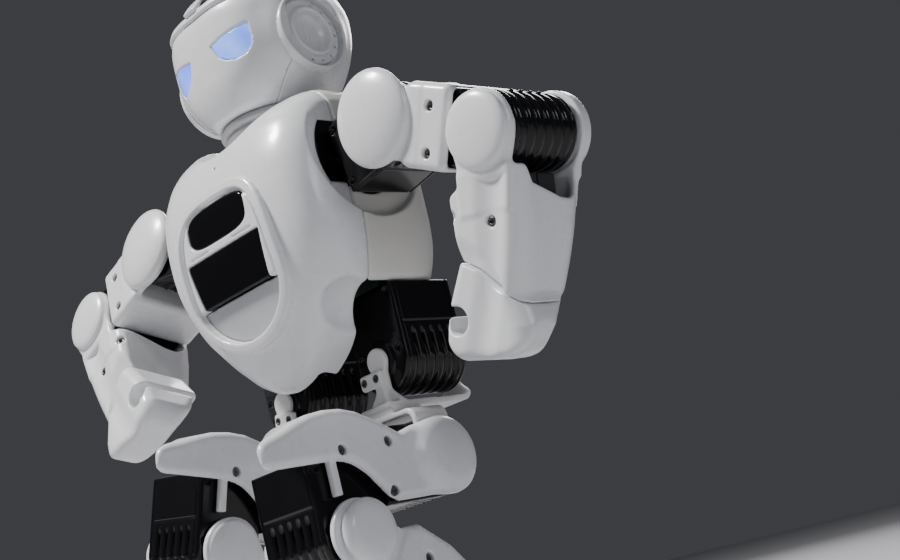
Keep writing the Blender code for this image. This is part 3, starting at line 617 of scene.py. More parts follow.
def torso_walls(body, p, d, dent=9.0):
    """Hollows a torso shell and opens its neck and shoulders; the walls follow a dent."""
    x, y, z = p
    wide, up = abs(x), z - SHOULDER_Z
    side, around = np.hypot(y - SHOULDER_Y, up), np.hypot(x, y - NECK_Y)
    recess = common(side - RECESS_R, RECESS_FLOOR - wide)
    lining = common(side - RECESS_R - WALL, RECESS_FLOOR - WALL - wide)
    room = common(d + WALL, z - 118.9, -lining)
    body = cut(body, common(room, WALL - dent), 0.4)
    body = cut(body, recess, 1.6)
    seat = common(side - PLATE_R - 0.2, up - PLATE_TOP - 0.2, PLATE_LOW - 0.2 - up)
    body = cut(body, common(seat, RECESS_FLOOR - 0.55 - wide), 0.2)
    body = cut(body, common(side - 17.5, 36 - wide), 0.8)
    top_pocket = common(abs(y - 2.5) - 17.5, abs(z - 123.5) - 6.5)
    body = cut(body, common(abs(wide - 33) - 5, top_pocket), 0.3)
    dish = np.minimum(common(around - 23.0, 121.5 - z), np.hypot(x, z - 159.1) - 37.6)
    body = cut(body, dish, 2.0)
    return cut(body, common(around - 18.2, 112 - z), 0.3)


def chest_field(p):
    """The front shell, with a scoop in each flank, the panel's seat, a notch below and a pin hole."""
    x, y, z = p
    d = torso_skin(p)
    dent = ellipsoid((abs(x), y, z), (46.0, -22, 34.0), (14.5, 19, 16.5))
    body = cut(d, dent, 1.6)
    body = both(body, y - SEAM_Y + GAP / 2, 1.0)
    body = torso_walls(body, p, d, dent)
    body = cut(body, common(flat(x, z, egg(-2.0)), y + 10), 0.5)
    body = cut(body, box(p, (-16, -20, 5), (16, 0, 23), 3), 0.6)
    return cut(body, common(np.hypot(x, z - 114.0) - 0.75, y), 0.3)


def back_field(p):
    """The rear shell, with a battery cover's outline, the button's hole and vent slots."""
    x, y, z = p
    d = torso_skin(p)
    body = both(d, SEAM_Y + GAP / 2 - y, 1.0)
    body = both(body, BACK_BOTTOM - z, 3.0)
    panel_line = abs(flat(x, z, [(-30, 112), (-34, 62), (34, 62), (30, 112)])) - 0.4
    body = cut(body, common(panel_line, -(d + 0.8), 10 - y), 0.3)
    body = torso_walls(body, p, d)
    body = cut(body, common(np.hypot(x, z - BUTTON_Z) - 5.6, 20 - y), 0.5)
    for row in range(5):
        slot = box((abs(x) - 9, y, z - 68 - 3.6 * row), (-6, 30, -0.9), (6, 60, 0.9), 0.8)
        body = cut(body, slot, 0.3)
    return body


def panel_field(p):
    """The egg panel: a lip round a flush field that holds the windows, and a pocket below them."""
    x, y, z = p
    d = torso_skin(p)
    edge = flat(x, z, egg(-0.4))
    lip = 1.4 * ease(edge, -6.0, -3.4) * (1 - 0.8 * ease(z, 84, 104))
    body = both(d - 1.4 - lip, edge, 1.6)
    body = cut(body, common(abs(edge + 5.6) - 0.7, -(d - 0.2)), 0.8)
    pocket = common(edge + 5.2, z - 58.5, -(d + 2.8))
    body = cut(body, pocket, 1.2)
    body = cut(body, common(pane(x, z, "upper", 0.25), -(d + 5)), 0.5)
    body = cut(body, common(pane(x, z, "lower", 0.25), -(d + 5)), 0.4)
    slot = box((abs(x), y, z), (8.5, -60, 80.15), (21.5, 0, 80.95), 0.3)
    body = cut(body, common(slot, -(d - 0.5)), 0.2)
    body = both(body, -(d + 2.4), 0.2)
    return both(body, y + 12, 0.2)


def window_field(which):
    """One black window, a little behind the panel's face."""
    def field(p):
        x, y, z = p
        d = torso_skin(p)
        body = both(pane(x, z, which, 0.0), d - 1.0, 0.5)
        return both(common(body, -(d + 1.5)), y + 12, 0.2)
    return field


def pocket_shade_field(p):
    """A grey sheet on the floor of the panel's pocket: painted shade for the recess."""
    x, y, z = p
    d = torso_skin(p)
    body = common(flat(x, z, egg(-0.4)) + 5.5, z - 58.2)
    body = common(body, d + 1.5, -(d + 3.0))
    return common(body, y + 12)


def collar_field(p):
    """The neck's collar: a foot in the torso's recess and three soft rings, each wider than the last."""
    body = rod(p, "z", (0, NECK_Y), 17.8, 119.0, 128, 0.5)
    for radius, low, high in ((22.3, 122, 130.8), (24.2, 130.5, 134.4), (26.2, 134.1, 137.6)):
        body = union(body, rod(p, "z", (0, NECK_Y), radius, low, high, 1.6), 0.4)
    return cut(body, rod(p, "z", (0, NECK_Y), 11, 110, 150), 0.3)


def shade_plate_field(p):
    """A black plate at the bottom of a shoulder's recess, beside its bore: painted shade for the recess's dark
    depth.
    """
    x, y, z = p
    up = z - SHOULDER_Z
    side = np.hypot(y - SHOULDER_Y, up)
    outline = common(side - PLATE_R, up - PLATE_TOP, PLATE_LOW - up)
    body = common(outline, 17.7 - side, abs(x - RECESS_FLOOR + 0.28) - 0.22)
    return common(body, torso_skin(p) + 0.15)


def button_field(p):
    """The power button: a round cap with a shallow dish and a ring."""
    body = rod(p, "y", (0, 0), 5.0, -1.2, 3.4, 1.0)
    dish = ball(p, (0, 15.2, 0), 12.2)
    ring = abs(np.hypot(p[0], p[2]) - 2.2) - 0.3
    body = cut(body, dish, 0.4)
    return cut(body, np.maximum(common(ring, 2.4 - p[1]), -5.0), 0.1)


def on_torso(name, field, low, high, paint, replaced=(), voxel=1.0):
    """Meshes one piece of the torso or the head and puts it in place."""
    place(name, mesh_from(name, field, low, high, voxel), TORSO, "torso", paint, replaced)


def build_torso():
    on_torso("chest_cover", chest_field, (-56, -46, 12), (56, -8, 141), WHITE, ["chest_shell"])
    on_torso("back_cover", back_field, (-56, -14, 45), (56, 45, 141), CREAM, ["back_shell"])
    on_torso("egg_panel", panel_field, (-36, -48, 32), (36, -8, 109), WHITE, ["chest_panel"], 0.8)
    # the pocket's grey floor sheet is painted shade
    on_torso("egg_pocket_shade", pocket_shade_field, (-36, -48, 32), (36, -8, 62), POCKET_SHADE)
    for which, low, high in (("upper", 80, 101), ("lower", 56, 81)):
        on_torso(which + "_pane", window_field(which), (-28, -47, low), (28, -25, high), GLASS,
                 [which + "_window"], 0.8)
    on_torso("collar_rings", collar_field, (-28, -26, 118), (28, 30, 139), GREY, ["neck_collar"], 0.8)
    # the recess's dark floor is painted shade: a black plate on each side
    well = mesh_from("shoulder_shade_plate", shade_plate_field, (48, -27, 76), (50, 25, 129), 0.55)
    for side, sign in SIDES:
        place("shoulder_shade_plate_" + side, sided(well, sign), TORSO, "torso", BLACK)
    cap = mesh_from("button_cap", button_field, (-6, -2, -6), (6, 4, 6), 0.5)
    place("button_cap", cap, TORSO @ shift(0, 39, BUTTON_Z), "power_button", GREY, ["power_button"])
    for name, paint in (("spine_frame", METAL), ("battery", CELL), ("control_board", BOARD)):
        frame["nodes"][name].data.materials.clear()
        frame["nodes"][name].data.materials.append(paint)


build_torso()


# ---- head

EYE = ((8.3, 167.3), (10.8, 161.7), (14, 159.2), (18.6, 157.7), (23, 158.5), (25.7, 161.2), (26.8, 165),
       (26.9, 170.4), (16, 168.9))


def eye_shape(x, z, swell=0.0):
    return flat(abs(x), z, EYE) - swell


def visor_height(x, z):
    """Height measured along the helmet's brow, which is higher at its sides."""
    return z - 0.06 * abs(x)


def head_body(p):
    """The head's skin, swollen softly round its ears."""
    x, y, z = p
    swell = lift(np.hypot(y - EAR_Y, z - EAR_Z) - 17.5, abs(x), -35.5, 35.5, 3.0)
    return union(head_skin(p), swell, 9.0)


def face_field(p):
    """The face shell, below the brow and in front of the ears, with two eye holes."""
    x, y, z = p
    d = head_body(p)
    body = both(d, common(y - FACE_Y + HALF_SEAM, z - BROW_Z + GAP / 2), 0.12)
    body = cut(body, d + WALL, 0.3)
    body = cut(body, common(eye_shape(x, z, 0.45), y + 14), 0.7)
    return cut(body, rod(p, "z", (0, NECK_Y), 15.5, 120, 145), 0.5)


def helmet_field(p):
    """The helmet: a brow band, a deep groove over it and a visor bar that stands proud."""
    x, y, z = p
    d = head_body(p)
    body = both(d, np.minimum(FACE_Y + HALF_SEAM - y, BROW_Z + GAP / 2 - z), 0.12)
    up = visor_height(x, z)
    front = y - 4
    grown = ellipsoid(p, (0, 3, 170), (43.5, 41.5, 36.0))
    band = both(both(d - 1.4, abs(up - 186.0) - 2.0, 1.4), front, 2.0)
    bar = both(both(common(d - 4.6, grown), abs(up - 195.4) - 2.6, 2.2), front, 3.0)
    body = union(body, np.minimum(band, bar), 0.5)
    groove = common(abs(up - GROOVE_Z) - 2.6, -(d + 1.6), y + 2)
    body = cut(body, groove, 1.0)
    room = common(d + WALL, z - 199)
    behind_groove = 4.4 - np.hypot(up - GROOVE_Z, np.maximum(-d, 0))
    body = cut(body, np.where(y < 0, common(room, behind_groove), room), 0.3)
    body = cut(body, common(np.hypot(y - EAR_Y, z - EAR_Z) - 17.1, 26 - abs(x)), 0.2)
    return cut(body, rod(p, "z", (0, NECK_Y), 15.5, 120, 145), 0.5)


def brow_shade_field(p):
    """A dark strip in the groove under the visor bar: painted shade for the groove's deep shadow."""
    x, y, z = p
    d = head_skin(p)
    strip = abs(visor_height(x, z) - GROOVE_Z) - 2.2
    return both(both(common(d + 1.0, -(d + 1.55)), strip, 0.2), y + 3, 0.2)


def crest_field(p):
    """The fin along the top of the helmet."""
    outer = [(-2 + 40 * u, 165 + 39.5 * (v - 165)) for u, v in arc((0, 165), 1, 40, 145, 24)]
    body = plate(p, "x", outer + [(-24, 182), (0, 196), (26, 186)], -4.5, 4.5, 1.6)
    return cut(body, head_skin(p) - 0.35, 0.4)


def ear_field(p):
    """An ear cup about the x axis: a soft flank, a rim, a groove, a dotted flange, a ridge and a bowl."""
    x, y, z = p
    profile = [(0, 26), (0, 34.2), (6.5, 34.2), (8.6, 35.4), (9.6, 37.9), (10.5, 38.5), (11.4, 37.9),
               (12.1, 36.6), (15.0, 36.3), (15.2, 34.2), (16.6, 34.2), (16.8, 38.3), (17.4, 39.0),
               (18.0, 38.3), (18.4, 36.5), (18.6, 34.2), (18.6, 31.5), (16.8, 31.0), (16.8, 26)]
    body = turned(p, "x", (EAR_Y, EAR_Z), profile) - 0.12
    body = cut(body, box(p, (33.2, EAR_Y - 1.2, EAR_Z - 4.2), (50, EAR_Y + 1.2, EAR_Z + 4.2), 0.8), 0.3)
    for step in range(8):
        angle = math.radians(-100 + 25 * step)
        cy, cz = EAR_Y + 13.6 * math.cos(angle), EAR_Z + 13.6 * math.sin(angle)
        body = cut(body, common(np.hypot(y - cy, z - cz) - 0.7, 34.9 - x), 0.25)
    ring = np.hypot(y - EAR_Y, z - EAR_Z)
    return cut(body, common(head_body(p) - 0.1, 17.0 - ring), 0.05)


def lens_field(p):
    """The left eye's lens, in its hole of the face."""
    x, y, z = p
    d = head_skin(p)
    body = both(eye_shape(x, z, 0.1), d + 0.3, 0.3)
    return common(body, -(d + 1.9), 5 - x, y + 16)


def build_head():
    on_torso("face_cover", face_field, (-40, -37, 136), (40, -11, 186), WHITE, ["face_shell"], 0.9)
    on_torso("helmet", helmet_field, (-42, -40, 136), (42, 44, 206), WHITE, ["head_shell"])
    on_torso("helmet_crest", crest_field, (-6, -37, 180), (6, 34, 207), WHITE, ["head_crest"], 0.8)
    # a dark strip laid in the groove under the visor bar: painted shade
    on_torso("brow_painted_shade", brow_shade_field, (-37, -34, 185), (37, -1, 196), DULL, voxel=0.8)
    cup = mesh_from("ear_cup", ear_field, (24, -24, 144), (43, 17, 184), 0.7)
    lens = mesh_from("eye_lens", lens_field, (6, -36, 155), (31, -14, 173), 0.6)
    for side, sign in SIDES:
        place("ear_disc_" + side, sided(cup, sign), TORSO, "torso", WHITE, ["ear_cup_" + side])
        place("eye_light_" + side, sided(lens, sign), TORSO, "torso", GLOW, ["eye_lens_" + side])


build_head()


def place_rows(rows, side, sign):
    """Places one side's pieces, each given by name, mesh, body, paint and the nodes it replaces."""
    for name, mesh, body, paint, nodes in rows:
        place(name + side, sided(mesh, sign), LIMBS[side][body], body + "_" + side, paint,
              [node + side for node in nodes])


# ---- arms

ARM_SCREWS = [((6.8, -22.2, -28.6), (0, -1, 0)), ((-10.9, -22.2, -29.2), (0, -1, 0)),
              ((6.8, 20.9, -28.6), (0, 1, 0)), ((-10.9, 20.9, -29.2), (0, 1, 0))]
FORE_SCREWS = [((-18.6, -20.6, -28.6), (-0.62, -0.78, 0)), ((-0.6, -21.2, -33.2), (0, -1, 0))]


def pebble(p, axis, centre, radius, low, high, crown=37.0):
    """A round cap whose face swells gently; high may be below low."""
    u, v, w = pick(p, axis)
    way = 1 if high > low else -1
    w = (w - low) * way
    height = abs(high - low)
    edge = lift(np.hypot(u - centre[0], v - centre[1]) - radius, w, 0, height, min(5.5, height * 0.7))
    top = np.sqrt((u - centre[0]) ** 2 + (v - centre[1]) ** 2 + (w - height + crown) ** 2) - crown
    return both(edge, top, 4.0)


def upper_arm_field(p):
    """The upper arm's shell: a block round the elbow servo's tail, ears and round caps at the shoulder."""
    top, rim = -CASE_R - 2.6, -ARM_LENGTH + CASE_R + 0.8
    body = box(p, (-17.2, -22.0, rim), (15.5, 21.0, top + 2), 3.2)
    ears = None
    for end in (-1, 1):
        ear = rod(p, "y", (0, 0), 16.5, *sorted((end * (EAR_IN + 0.1), end * (EAR_OUT + 0.4))), 0.6)
        low, high = sorted((end * 18.5, end * 21.2))
        strap = box(p, (-15, low, top - 6), (13.5, high, 0), 0.8)
        ear = union(ear, strap, 2.0)
        ears = ear if ears is None else np.minimum(ears, ear)
    body = union(body, ears, 2.5)
    pocket = box(p, (-CASE_R - GAP, -CASE_HALF - GAP - 1.2, rim - 8),
                 (13.6, CASE_HALF + GAP + 0.6, top - WALL), 2.0)
    body = cut(body, pocket, 0.5)
    body = cut(body, rod(p, "y", (0, 0), CASE_R + 1.2, -EAR_IN, EAR_IN), 0.4)
    body = union(body, pebble(p, "y", (0, 0), CAP_R + 1.1, -20.0, -29.6), 0.8)
    body = union(body, pebble(p, "y", (0, 0), 15.5, 20.0, 27.2), 0.8)
    return holes(body, p, ARM_SCREWS)


def fore_distance(p):
    """The forearm's outer surface, a rounded box section that narrows towards the hand."""
    x, y, z = p
    share = np.clip((-z - 14) / 48, 0, 1)
    below = np.clip(-z - 60, 0, 30)
    inner, outer = -21.0 + 3.0 * share, 15.0 - 7.2 * share ** 1.7 + 0.35 * np.minimum(below, 12)
    front, rear = -EAR_OUT - 0.4, EAR_OUT - 1 - 7.5 * share ** 1.6 - 0.72 * below
    u, v = x - (inner + outer) / 2, y - (front + rear) / 2
    outer_rear, outer_front = 11.0 + 0.35 * below, 6.5 + 5.0 * share
    corner = np.where(v > 0, np.where(u > 0, outer_rear, 7.0), np.where(u > 0, outer_front, 4.0))
    du, dv = abs(u) - (outer - inner) / 2 + corner, abs(v) - (rear - front) / 2 + corner
    return round_edge(du, dv, corner)


SEAM = [(-60, -43), (-24, -44.5), (-17, -46), (-10, -49.5), (-2, -56.5), (6, -63.0), (13, -66.0), (24, -66.6),
        (60, -67)]


def above_seam(x, z):
    """Below zero above the wavy line where the forearm ends and the hand begins."""
    return flat(x, z, SEAM + [(60, 80), (-60, 80)])


def forearm_field(p):
    """The forearm's shell: a slanted mouth for the elbow servo, ears, a bevelled front edge and a valley."""
    x, y, z = p
    skin_d = fore_distance(p)
    body = both(skin_d, z + 14.5, 2.0)
    slant = 0.33 * np.clip(y, -20, 20) - 0.10 * np.clip(x - 4, 0, 12)
    opening = [(-18.3, 24), (-18.3, -12), (-12, -24), (3, -24), (9, -22.6), (13, -19.2), (15.6, -13),
               (17.3, -3), (17.3, 24)]
    mouth = plate((x, y, z + slant + 2.0), "x", opening, -60, 60, swell=0.3)
    body = cut(body, common(mouth, -22 - x), 1.4)
    front_wall = np.where(y < -12, 4.2, 2.4)
    room = common(skin_d + front_wall, -44 - z, z + 18)
    drop = -0.558 * (x + 18.4) - 0.83 * (z + 34.8)
    bevel = common((y + EAR_OUT + 0.4 - 0.5 * drop) * 0.89, -drop)
    bevel = both(bevel, x + 2.6 + 0.3 * (z + 46), 3.0)
    body = cut(body, common(room, 2.4 - bevel), 0.5)
    # room for the upper arm and the servo's tail when the elbow is folded
    arm_room = [(-13.4, -6), (-30, -6), (-30, -27), (-13.4, -18.6)]
    tail_room = [(0, -6), (-30, -6), (-30, -17.7), (0, -16.7)]
    body = cut(body, plate(p, "y", arm_room, -60, 60), 1.5)
    for end, radius, proud in ((-1, 15.1, 0.6), (1, 16.3, 3.2)):
        low, high = sorted((end * (EAR_IN + 0.1), end * (EAR_OUT + proud)))
        ear = rod(p, "y", (0, 0), radius, low, high, 1.0)
        strap = plate(p, "y", [(-13.4, 0), (-13.4, -30), (9.4, -30), (14.2, 0)], low,
                      min(high, EAR_OUT + 0.4), 1.2)
        body = union(body, union(ear, common(strap, skin_d - 1.2 - 9 * ease(z, -22, -8)), 3.0), 2.4)
    bowl = ellipsoid(p, (0, 14.2, 0), (14.4, 8.2, 14.4))
    body = cut(body, bowl, 0.6)
    body = union(body, rod(p, "y", (0, 0), 1.6, 19.5, 22.5, 0.5), 0.6)
    body = union(body, pebble(p, "y", (0, 0), 15.8, -20.4, -27.2), 1.0)
    body = cut(body, rod(p, "y", (0, 0), CASE_R + 0.9, -EAR_IN, EAR_IN), 0.3)
    body = cut(body, plate(p, "y", tail_room, -EAR_IN, EAR_IN), 0.4)
    body = cut(body, bevel, 0.8)
    valley = np.hypot((x - 3.0 - 0.16 * (z + 16)) * 0.97, y + EAR_OUT + 6.8) - 7.7
    body = cut(body, common(valley, z + 19), 3.0)
    crease = abs(x - 9.0 - 0.09 * (z + 30)) - 0.16
    body = cut(body, common(crease, -(skin_d + 0.5), -y, z + 29), 0.1)
    body = holes(body, p, FORE_SCREWS)
    return both(body, above_seam(x, z), 0.5)


def hand_field(p):
    """The mitten: flush with the wrist above, rounded behind, with a ring-like thumb round the grip."""
    x, y, z = p
    outline = [(-16, -40), (-20.5, -48), (-26.0, -59), (-28.6, -66), *arc((-21, -73.0), 9.0, 185, 262, 8),
               *arc((-2, -70), 13, 272, 352, 10), (13.5, -60), (14.0, -50), (14.0, -40)]
    rear = 13.0 - 0.72 * np.clip(-z - 60, 0, 30)
    body = lift(flat(x, z, outline), y, -EAR_OUT - 0.3, 13.0, 5.0)
    body = both(body, y - rear, 6.0)
    wrist = np.where(x > -8, fore_distance(p), -9.0)        # the thumb's side stays free of it
    body = both(body, wrist, 1.0)
    body = cut(body, above_seam(x, z + 0.35), 0.4)
    valley = np.hypot(x + 9.0 - 0.35 * (z + 70), y + EAR_OUT + 8.0) - 9.0
    body = cut(body, common(valley, z + 50), 3.0)
    grip = np.hypot(x + 22.0, z + 67.0) - 5.3
    gap_way = flat(x, z, [(-22, -62.0), (-36, -59.2), (-36, -62.8), (-22, -66.4)])
    return cut(body, union(grip, gap_way, 1.5), 1.0)


def inner_block_field(p):
    """The dark joint block under the elbow servo, split by two grooves."""
    body = box(p, (-9, -13, -34), (8, 9, -16.6), 1.0)
    body = cut(body, box(p, (-12, -2.0, -40), (12, -1.0, -10)), 0.3)
    return cut(body, box(p, (-12, -8.25, -40), (12, -7.75, -10)), 0.1)


def sunk(seats, sign, depth=2.6):
    """The seats' screws, sunk below the faces and mirrored for the right side."""
    found = []
    for (x, y, z), (fx, fy, fz) in seats:
        found.append(((sign * (x - fx * depth), y - fy * depth, z - fz * depth), (sign * fx, fy, fz)))
    return found


def build_arms():
    arm = mesh_from("upper_arm_cover", upper_arm_field, (-22, -31, -41), (22, 28, 22))
    fore = mesh_from("forearm_cover", forearm_field, (-23, -28, -68), (18, 26, 18))
    hand = mesh_from("mitten_hand", hand_field, (-33, -23, -85), (16, 16, -42), 0.9)
    block = mesh_from("elbow_block", inner_block_field, (-10, -14, -35), (9, 10, -16), 0.9)
    rows = (("upper_arm_cover_", arm, "upper_arm", WHITE, ["upper_arm_shell_"]),
            ("forearm_cover_", fore, "forearm", WHITE, ["forearm_shell_"]),
            ("mitten_hand_", hand, "forearm", WHITE, ["hand_"]),
            ("elbow_block_", block, "forearm", DULL, []))
    for side, sign in SIDES:
        at = LIMBS[side]
        place_rows(rows, side, sign)
        screws("upper_arm_screws_" + side, at["upper_arm"], "upper_arm_" + side, sunk(ARM_SCREWS, sign))
        screws("forearm_screws_" + side, at["forearm"], "forearm_" + side, sunk(FORE_SCREWS, sign))


build_arms()


# ---- legs

THIGH_SCREWS = [((WALL_OUT, -51.5, 7.0), (1, 0, 0)), ((WALL_OUT, -28.5, 8.0), (1, 0, 0)),
                ((WALL_OUT, -30.5, -10.5), (1, 0, 0))]
SHIN_SCREWS = [((WALL_OUT, 6, -30), (1, 0, 0)), ((WALL_OUT, 6, -47), (1, 0, 0))]


def thigh_outline():
    return [
        *arc((0, 0), 15, -80, 100, 20), (-14, 13.5), (-21, 11.5), (-29, 16.0), (-40, 21.0), (-47, 22.6),
        (-55, 22.7), (-63, 21.6), (-70, 19.5), (-78, 16.3), *arc((-84.5, 8.0), 6.0, 100, 185, 6),
        (-90.7, 2.6), (-76, 2.9), (-59, 3.2), (-54.5, 3.0), (-51.0, 2.4), (-47.5, 1.2), (-44.6, -0.6),
        (-42.0, -2.6), (-39.6, -5.0), (-37.4, -7.6), (-35.2, -10.2), (-32.6, -12.8), (-29.0, -14.8),
    ]


def thigh_field(cap_side):
    """The thigh's cover, alike on both legs but for its hip cap, which faces outboard."""
    room = [(-88.2, -40), (-88.2, 6), (-84.5, 11), (-70, 17), (-55, 20), (-40, 18.2), (-32.6, 13.5),
            (-32.6, 40), (40, 40), (40, -60), (-88.2, -60)]

    def field(p):
        body = plate(p, "x", thigh_outline(), -WALL_OUT, WALL_OUT, 3.6)
        cap = pebble(p, "x", (0, 0), 14.6, cap_side * (WALL_OUT - 4.0), cap_side * 28.8, 60.0)
        body = union(body, cap, 5.0)
        body = cut(body, plate(p, "x", room, -WALL_IN, WALL_IN, 1.5), 0.6)
        body = cut(body, box(p, (-40, -120, -60), (-19.4, -46, 60), 1.0), 1.0)
        slanted_nose = (WALL_OUT - p[0] - p[1] - 91.5) * 0.707
        body = both(body, slanted_nose, 5.0)
        post = box(p, (18.4, -57.0, -9.0), (21.8, -54.2, 12.0), 0.4)
        return holes(np.minimum(body, post), p, THIGH_SCREWS)
    return field


def shin_field(p):
    """The shin's shell: a sleeve round the ankle servo, ears at the knee and a round cap on each."""
    ankle = -SHIN_LENGTH
    sleeve = [*arc((0, ankle), 14.0, 180, 360, 14), (17.2, ankle + 16), (16.5, -22), (12, -16.5),
              (-12, -16.5), (-16.5, -22), (-17.2, ankle + 16)]
    body = plate(p, "x", sleeve, -WALL_OUT, WALL_OUT, 4.0)
    for end in (-1, 1):
        low, high = sorted((end * (EAR_IN + 0.1), end * (EAR_OUT + 0.2)))
        ear = rod(p, "x", (0, 0), KNEE_CAP_R - 0.4, low, high, 0.6)
        ear = union(ear, box(p, (low, -11, -26), (high, 11, 0), 0.8), 2.0)
        body = union(body, ear, 1.5)
    room = box(p, (-CASE_HALF - GAP, -CASE_R - GAP, -90), (CASE_HALF + GAP, CASE_R + GAP, -24.2), 1.0)
    body = cut(body, room, 0.4)
    body = cut(body, box(p, (-WALL_IN, -30, -90), (WALL_IN, 30, ankle + 15.5), 1.0), 0.6)
    body = cut(body, rod(p, "x", (0, 0), CASE_R + 1.0, -EAR_IN, EAR_IN), 0.4)
    body = union(body, pebble(p, "x", (0.8, -1.0), KNEE_CAP_R - 0.9, EAR_OUT - 1.0, 29.0), 0.6)
    body = union(body, pebble(p, "x", (0, 0), KNEE_CAP_R + 0.3, -EAR_OUT + 1.0, -24.4), 0.6)
    return holes(body, p, SHIN_SCREWS)


STRAP_WIDTH = 9.0
STRAP_THICK = 2.4


def strap_field(p, across, centre_y, axis_z, web_sign, strip=STRAP_WIDTH):
    """A bent strip round a servo: a U with rounded corners, round ears and a web at one end."""
    x, y, z = p
    u, v = (x, y - centre_y) if across == "x" else (y, x)
    h = (z - axis_z) * web_sign
    hull = rounded(u, h, EAR_OUT, WEB_OUT, 5.0)
    hole = rounded(u, h, EAR_OUT - STRAP_THICK, WEB_OUT - STRAP_THICK, 3.0)
    band = common(hull, -hole)
    reach = strip + (STRAP_WIDTH - strip) * ease(h, WEB_IN - 7, WEB_IN)
    side = np.where(h > 0, abs(v) - reach, np.hypot(v, h) - strip)
    return both(union(both(band, side, 0.8), both(band, np.hypot(v, h) - strip - 1.5, 0.8), 1.0), hull, 0.1)


def rounded(u, h, half, top, corner):
    """Outline open downwards, with two rounded upper corners."""
    return round_edge(abs(u) - half + corner, h - top + corner, corner)


def yoke(p, upper, lower, centre_y, lower_axis_z):
    """Two crossed U brackets back to back, joined by a block between their webs."""
    low, high = lower_axis_z + WEB_IN + 0.6, -WEB_IN - 0.6
    middle = box(p, (-8.6, centre_y - 8.6, low), (8.6, centre_y + 8.6, high), 1.0)
    return union(union(upper, lower, 0.8), middle, 0.8)


LUG_SCREWS = [((-6.6, -23.6, -7.2), (0, -1, 0)), ((0.6, -23.6, -7.2), (0, -1, 0))]


def hip_yoke_field(p):
    """The hip's crossed brackets, with a lug in front that carries two screws."""
    pitch_y = -18.0
    front_fork, side_fork = strap_field(p, "y", 0, 0.0, -1, strip=4.0), strap_field(p, "x", pitch_y, -44.5, 1)
    body = yoke(p, front_fork, side_fork, pitch_y, -44.5)
    tab = box(p, (-9, pitch_y - 9, -WEB_OUT), (9, 0, -WEB_IN), 0.6)
    body = union(body, tab, 0.5)
    lug = union(box(p, (-9.5, -23.6, -10.5), (3.5, -20.6, -4.0), 1.4),
                box(p, (-2, -23.0, -20), (3, -20, -6), 1.0), 1.0)
    return holes(union(body, lug, 0.8), p, LUG_SCREWS, 1.3, 1.4)


def ankle_yoke_field(p):
    """The ankle yoke: its upper fork holds the shin's servo, its lower fork the foot's."""
    return yoke(p, strap_field(p, "x", 0, 0.0, -1), strap_field(p, "y", 0, -45.0, 1), 0, -45.0)


def foot_outline(shrink):
    """A squarish oval, wider outboard and narrower at its toes."""
    found = []
    for i in range(40):
        angle = 2 * math.pi * i / 40
        c, s = math.cos(angle), math.sin(angle)
        u, v = (math.copysign(abs(t) ** (2 / 3.4), t) for t in (c, s))
        half = (37.5 if u > 0 else 27.5) - shrink
        found.append((half * u * (1 - 0.10 * max(-v, 0)), -11.5 + (53.5 - shrink) * v))
    return found


def foot_field(p):
    """The foot's cover: bulging sides, a top that slopes to the toes and a well for the servo."""
    x, y, z = p
    base = -SOLE_DROP + 3.3
    edge = flat(x, y, foot_outline(0.0))
    up = z - base
    rake = 1.0 - 0.22 * ease(-y, 10, 62)
    top = 20.5 * rake
    bulge = edge + 0.2 + 9.0 * np.maximum(up / top - 0.15, 0) ** 2
    body = both(common(bulge * 0.93, -up), up - top, 6.0)
    body = cut(body, both(common((bulge + 2.6) * 0.93, -5 - up), up - top + 2.6, 5.0), 0.3)
    well = box(p, (-19, -EAR_OUT - 3, base - 9), (32, EAR_OUT + 3, 60), 3)
    body = cut(body, well, 1.2)
    groove = common(abs(up - 4.2) - 0.35, -(bulge + 0.7))
    return cut(body, groove, 0.2)


def sole_field(p):
    """The rubber sole, with cross grooves below."""
    x, y, z = p
    edge = flat(x, y, foot_outline(0.8))
    body = lift(edge, z, -SOLE_DROP, -SOLE_DROP + 3.0, 0.8)
    tread = common(abs(np.mod(y, 7.0) - 3.5) - 0.7, z + SOLE_DROP - 0.7, edge + 4.0)
    return cut(body, tread, 0.2)


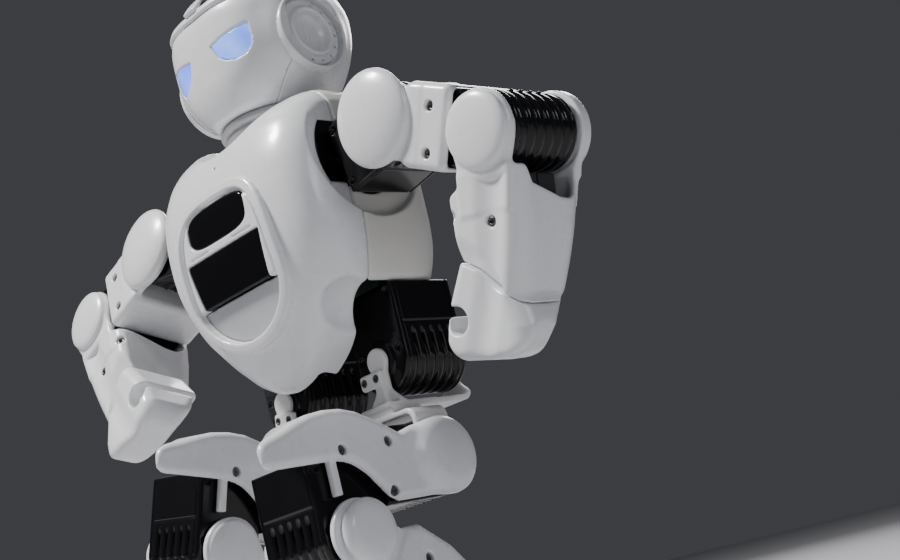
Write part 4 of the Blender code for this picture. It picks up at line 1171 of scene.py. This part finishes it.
def build_legs():
    thighs = {sign: mesh_from("thigh_cover", thigh_field(sign), (-30, -93, -28), (30, 17, 25))
              for sign in (1, -1)}
    shin = mesh_from("shin_cover", shin_field, (-26, -19, -71), (29, 19, 16))
    hip = mesh_from("hip_yoke", hip_yoke_field, (-23, -30, -56), (23, 23, 11), 0.95)
    ankle = mesh_from("ankle_yoke", ankle_yoke_field, (-23, -23, -56), (23, 23, 11), 0.95)
    foot = mesh_from("foot_cover", foot_field, (-30, -67, -18), (40, 45, 7), 1.1)
    sole = mesh_from("foot_tread", sole_field, (-30, -67, -21), (40, 45, -16), 1.1)
    rows = (("shin_cover_", shin, "shin", WHITE, ["shin_shell_"]),
            ("hip_bracket_", hip, "hip", STRIP, ["hip_yoke_"]),
            ("ankle_bracket_", ankle, "ankle", STRIP, ["ankle_yoke_"]),
            ("foot_cover_", foot, "foot", WHITE, ["foot_shell_"]),
            ("foot_tread_", sole, "foot", RUBBER, ["foot_sole_"]))
    for side, sign in SIDES:
        at = LIMBS[side]
        place("thigh_cover_" + side, thighs[sign], at["thigh"], "thigh_" + side, WHITE,
              ["thigh_shell_" + side])
        place_rows(rows, side, sign)
        screws("thigh_screws_" + side, at["thigh"], "thigh_" + side, sunk(THIGH_SCREWS, 1))
        screws("lug_screws_" + side, at["hip"], "hip_" + side, sunk(LUG_SCREWS, sign, 0.9))
        screws("shin_screws_" + side, at["shin"], "shin_" + side, sunk(SHIN_SCREWS, sign))


build_legs()


# ---- floor, light and camera

def build_stage():
    bpy.ops.mesh.primitive_plane_add(size=8.0)
    floor = bpy.context.object
    floor.name = "floor"
    paint, tree, shader = new_material("floor_paint")
    tint = blended(tree, noise_at(tree, 3.0), (0.50, 0.50, 0.52), (0.53, 0.53, 0.55))
    tree.links.new(tint, shader.inputs["Base Color"])
    put(shader, {"Roughness": 0.7})
    floor.data.materials.append(paint)

    world = bpy.data.worlds.new("studio")
    world.use_nodes = True
    put(world.node_tree.nodes["Background"], {"Color": (0.66, 0.68, 0.76, 1), "Strength": 0.08})
    bpy.context.scene.world = world

    lamp("key", (-0.45, -0.75, 1.55), (0, 0, 0.22), 0.32, 50.0, (1, 0.99, 0.97))
    lamp("side_fill", (1.6, -0.25, 0.8), (0, 0, 0.22), 0.5, 4.0, (0.92, 0.95, 1))
    lamp("rim", (-0.6, 1.3, 1.2), (0, 0, 0.25), 0.8, 14.0, (1, 0.96, 0.99))


def lamp(name, at, aim, size, power, colour):
    data = bpy.data.lights.new(name, "AREA")
    data.shape = "DISK"
    data.size = size
    data.energy = power
    data.color = colour
    made = added(name, data)
    made.location = at
    made.rotation_euler = (Vector(aim) - Vector(at)).to_track_quat("-Z", "Y").to_euler()


def build_camera():
    """The view from low on the robot's front left, rolled so that the robot leans."""
    yaw, pitch, roll = 42.43, 12.97, -14.51
    data = bpy.data.cameras.new("camera")
    data.sensor_width = 36.0
    data.lens = 53.38
    camera = added("camera", data)
    camera.matrix_world = (TORSO @ shift(419.4, -373.0, -79.5) @ turn("Z", yaw) @ turn("X", 90 + pitch)
                           @ turn("Z", roll))
    bpy.context.scene.camera = camera


build_stage()
build_camera()
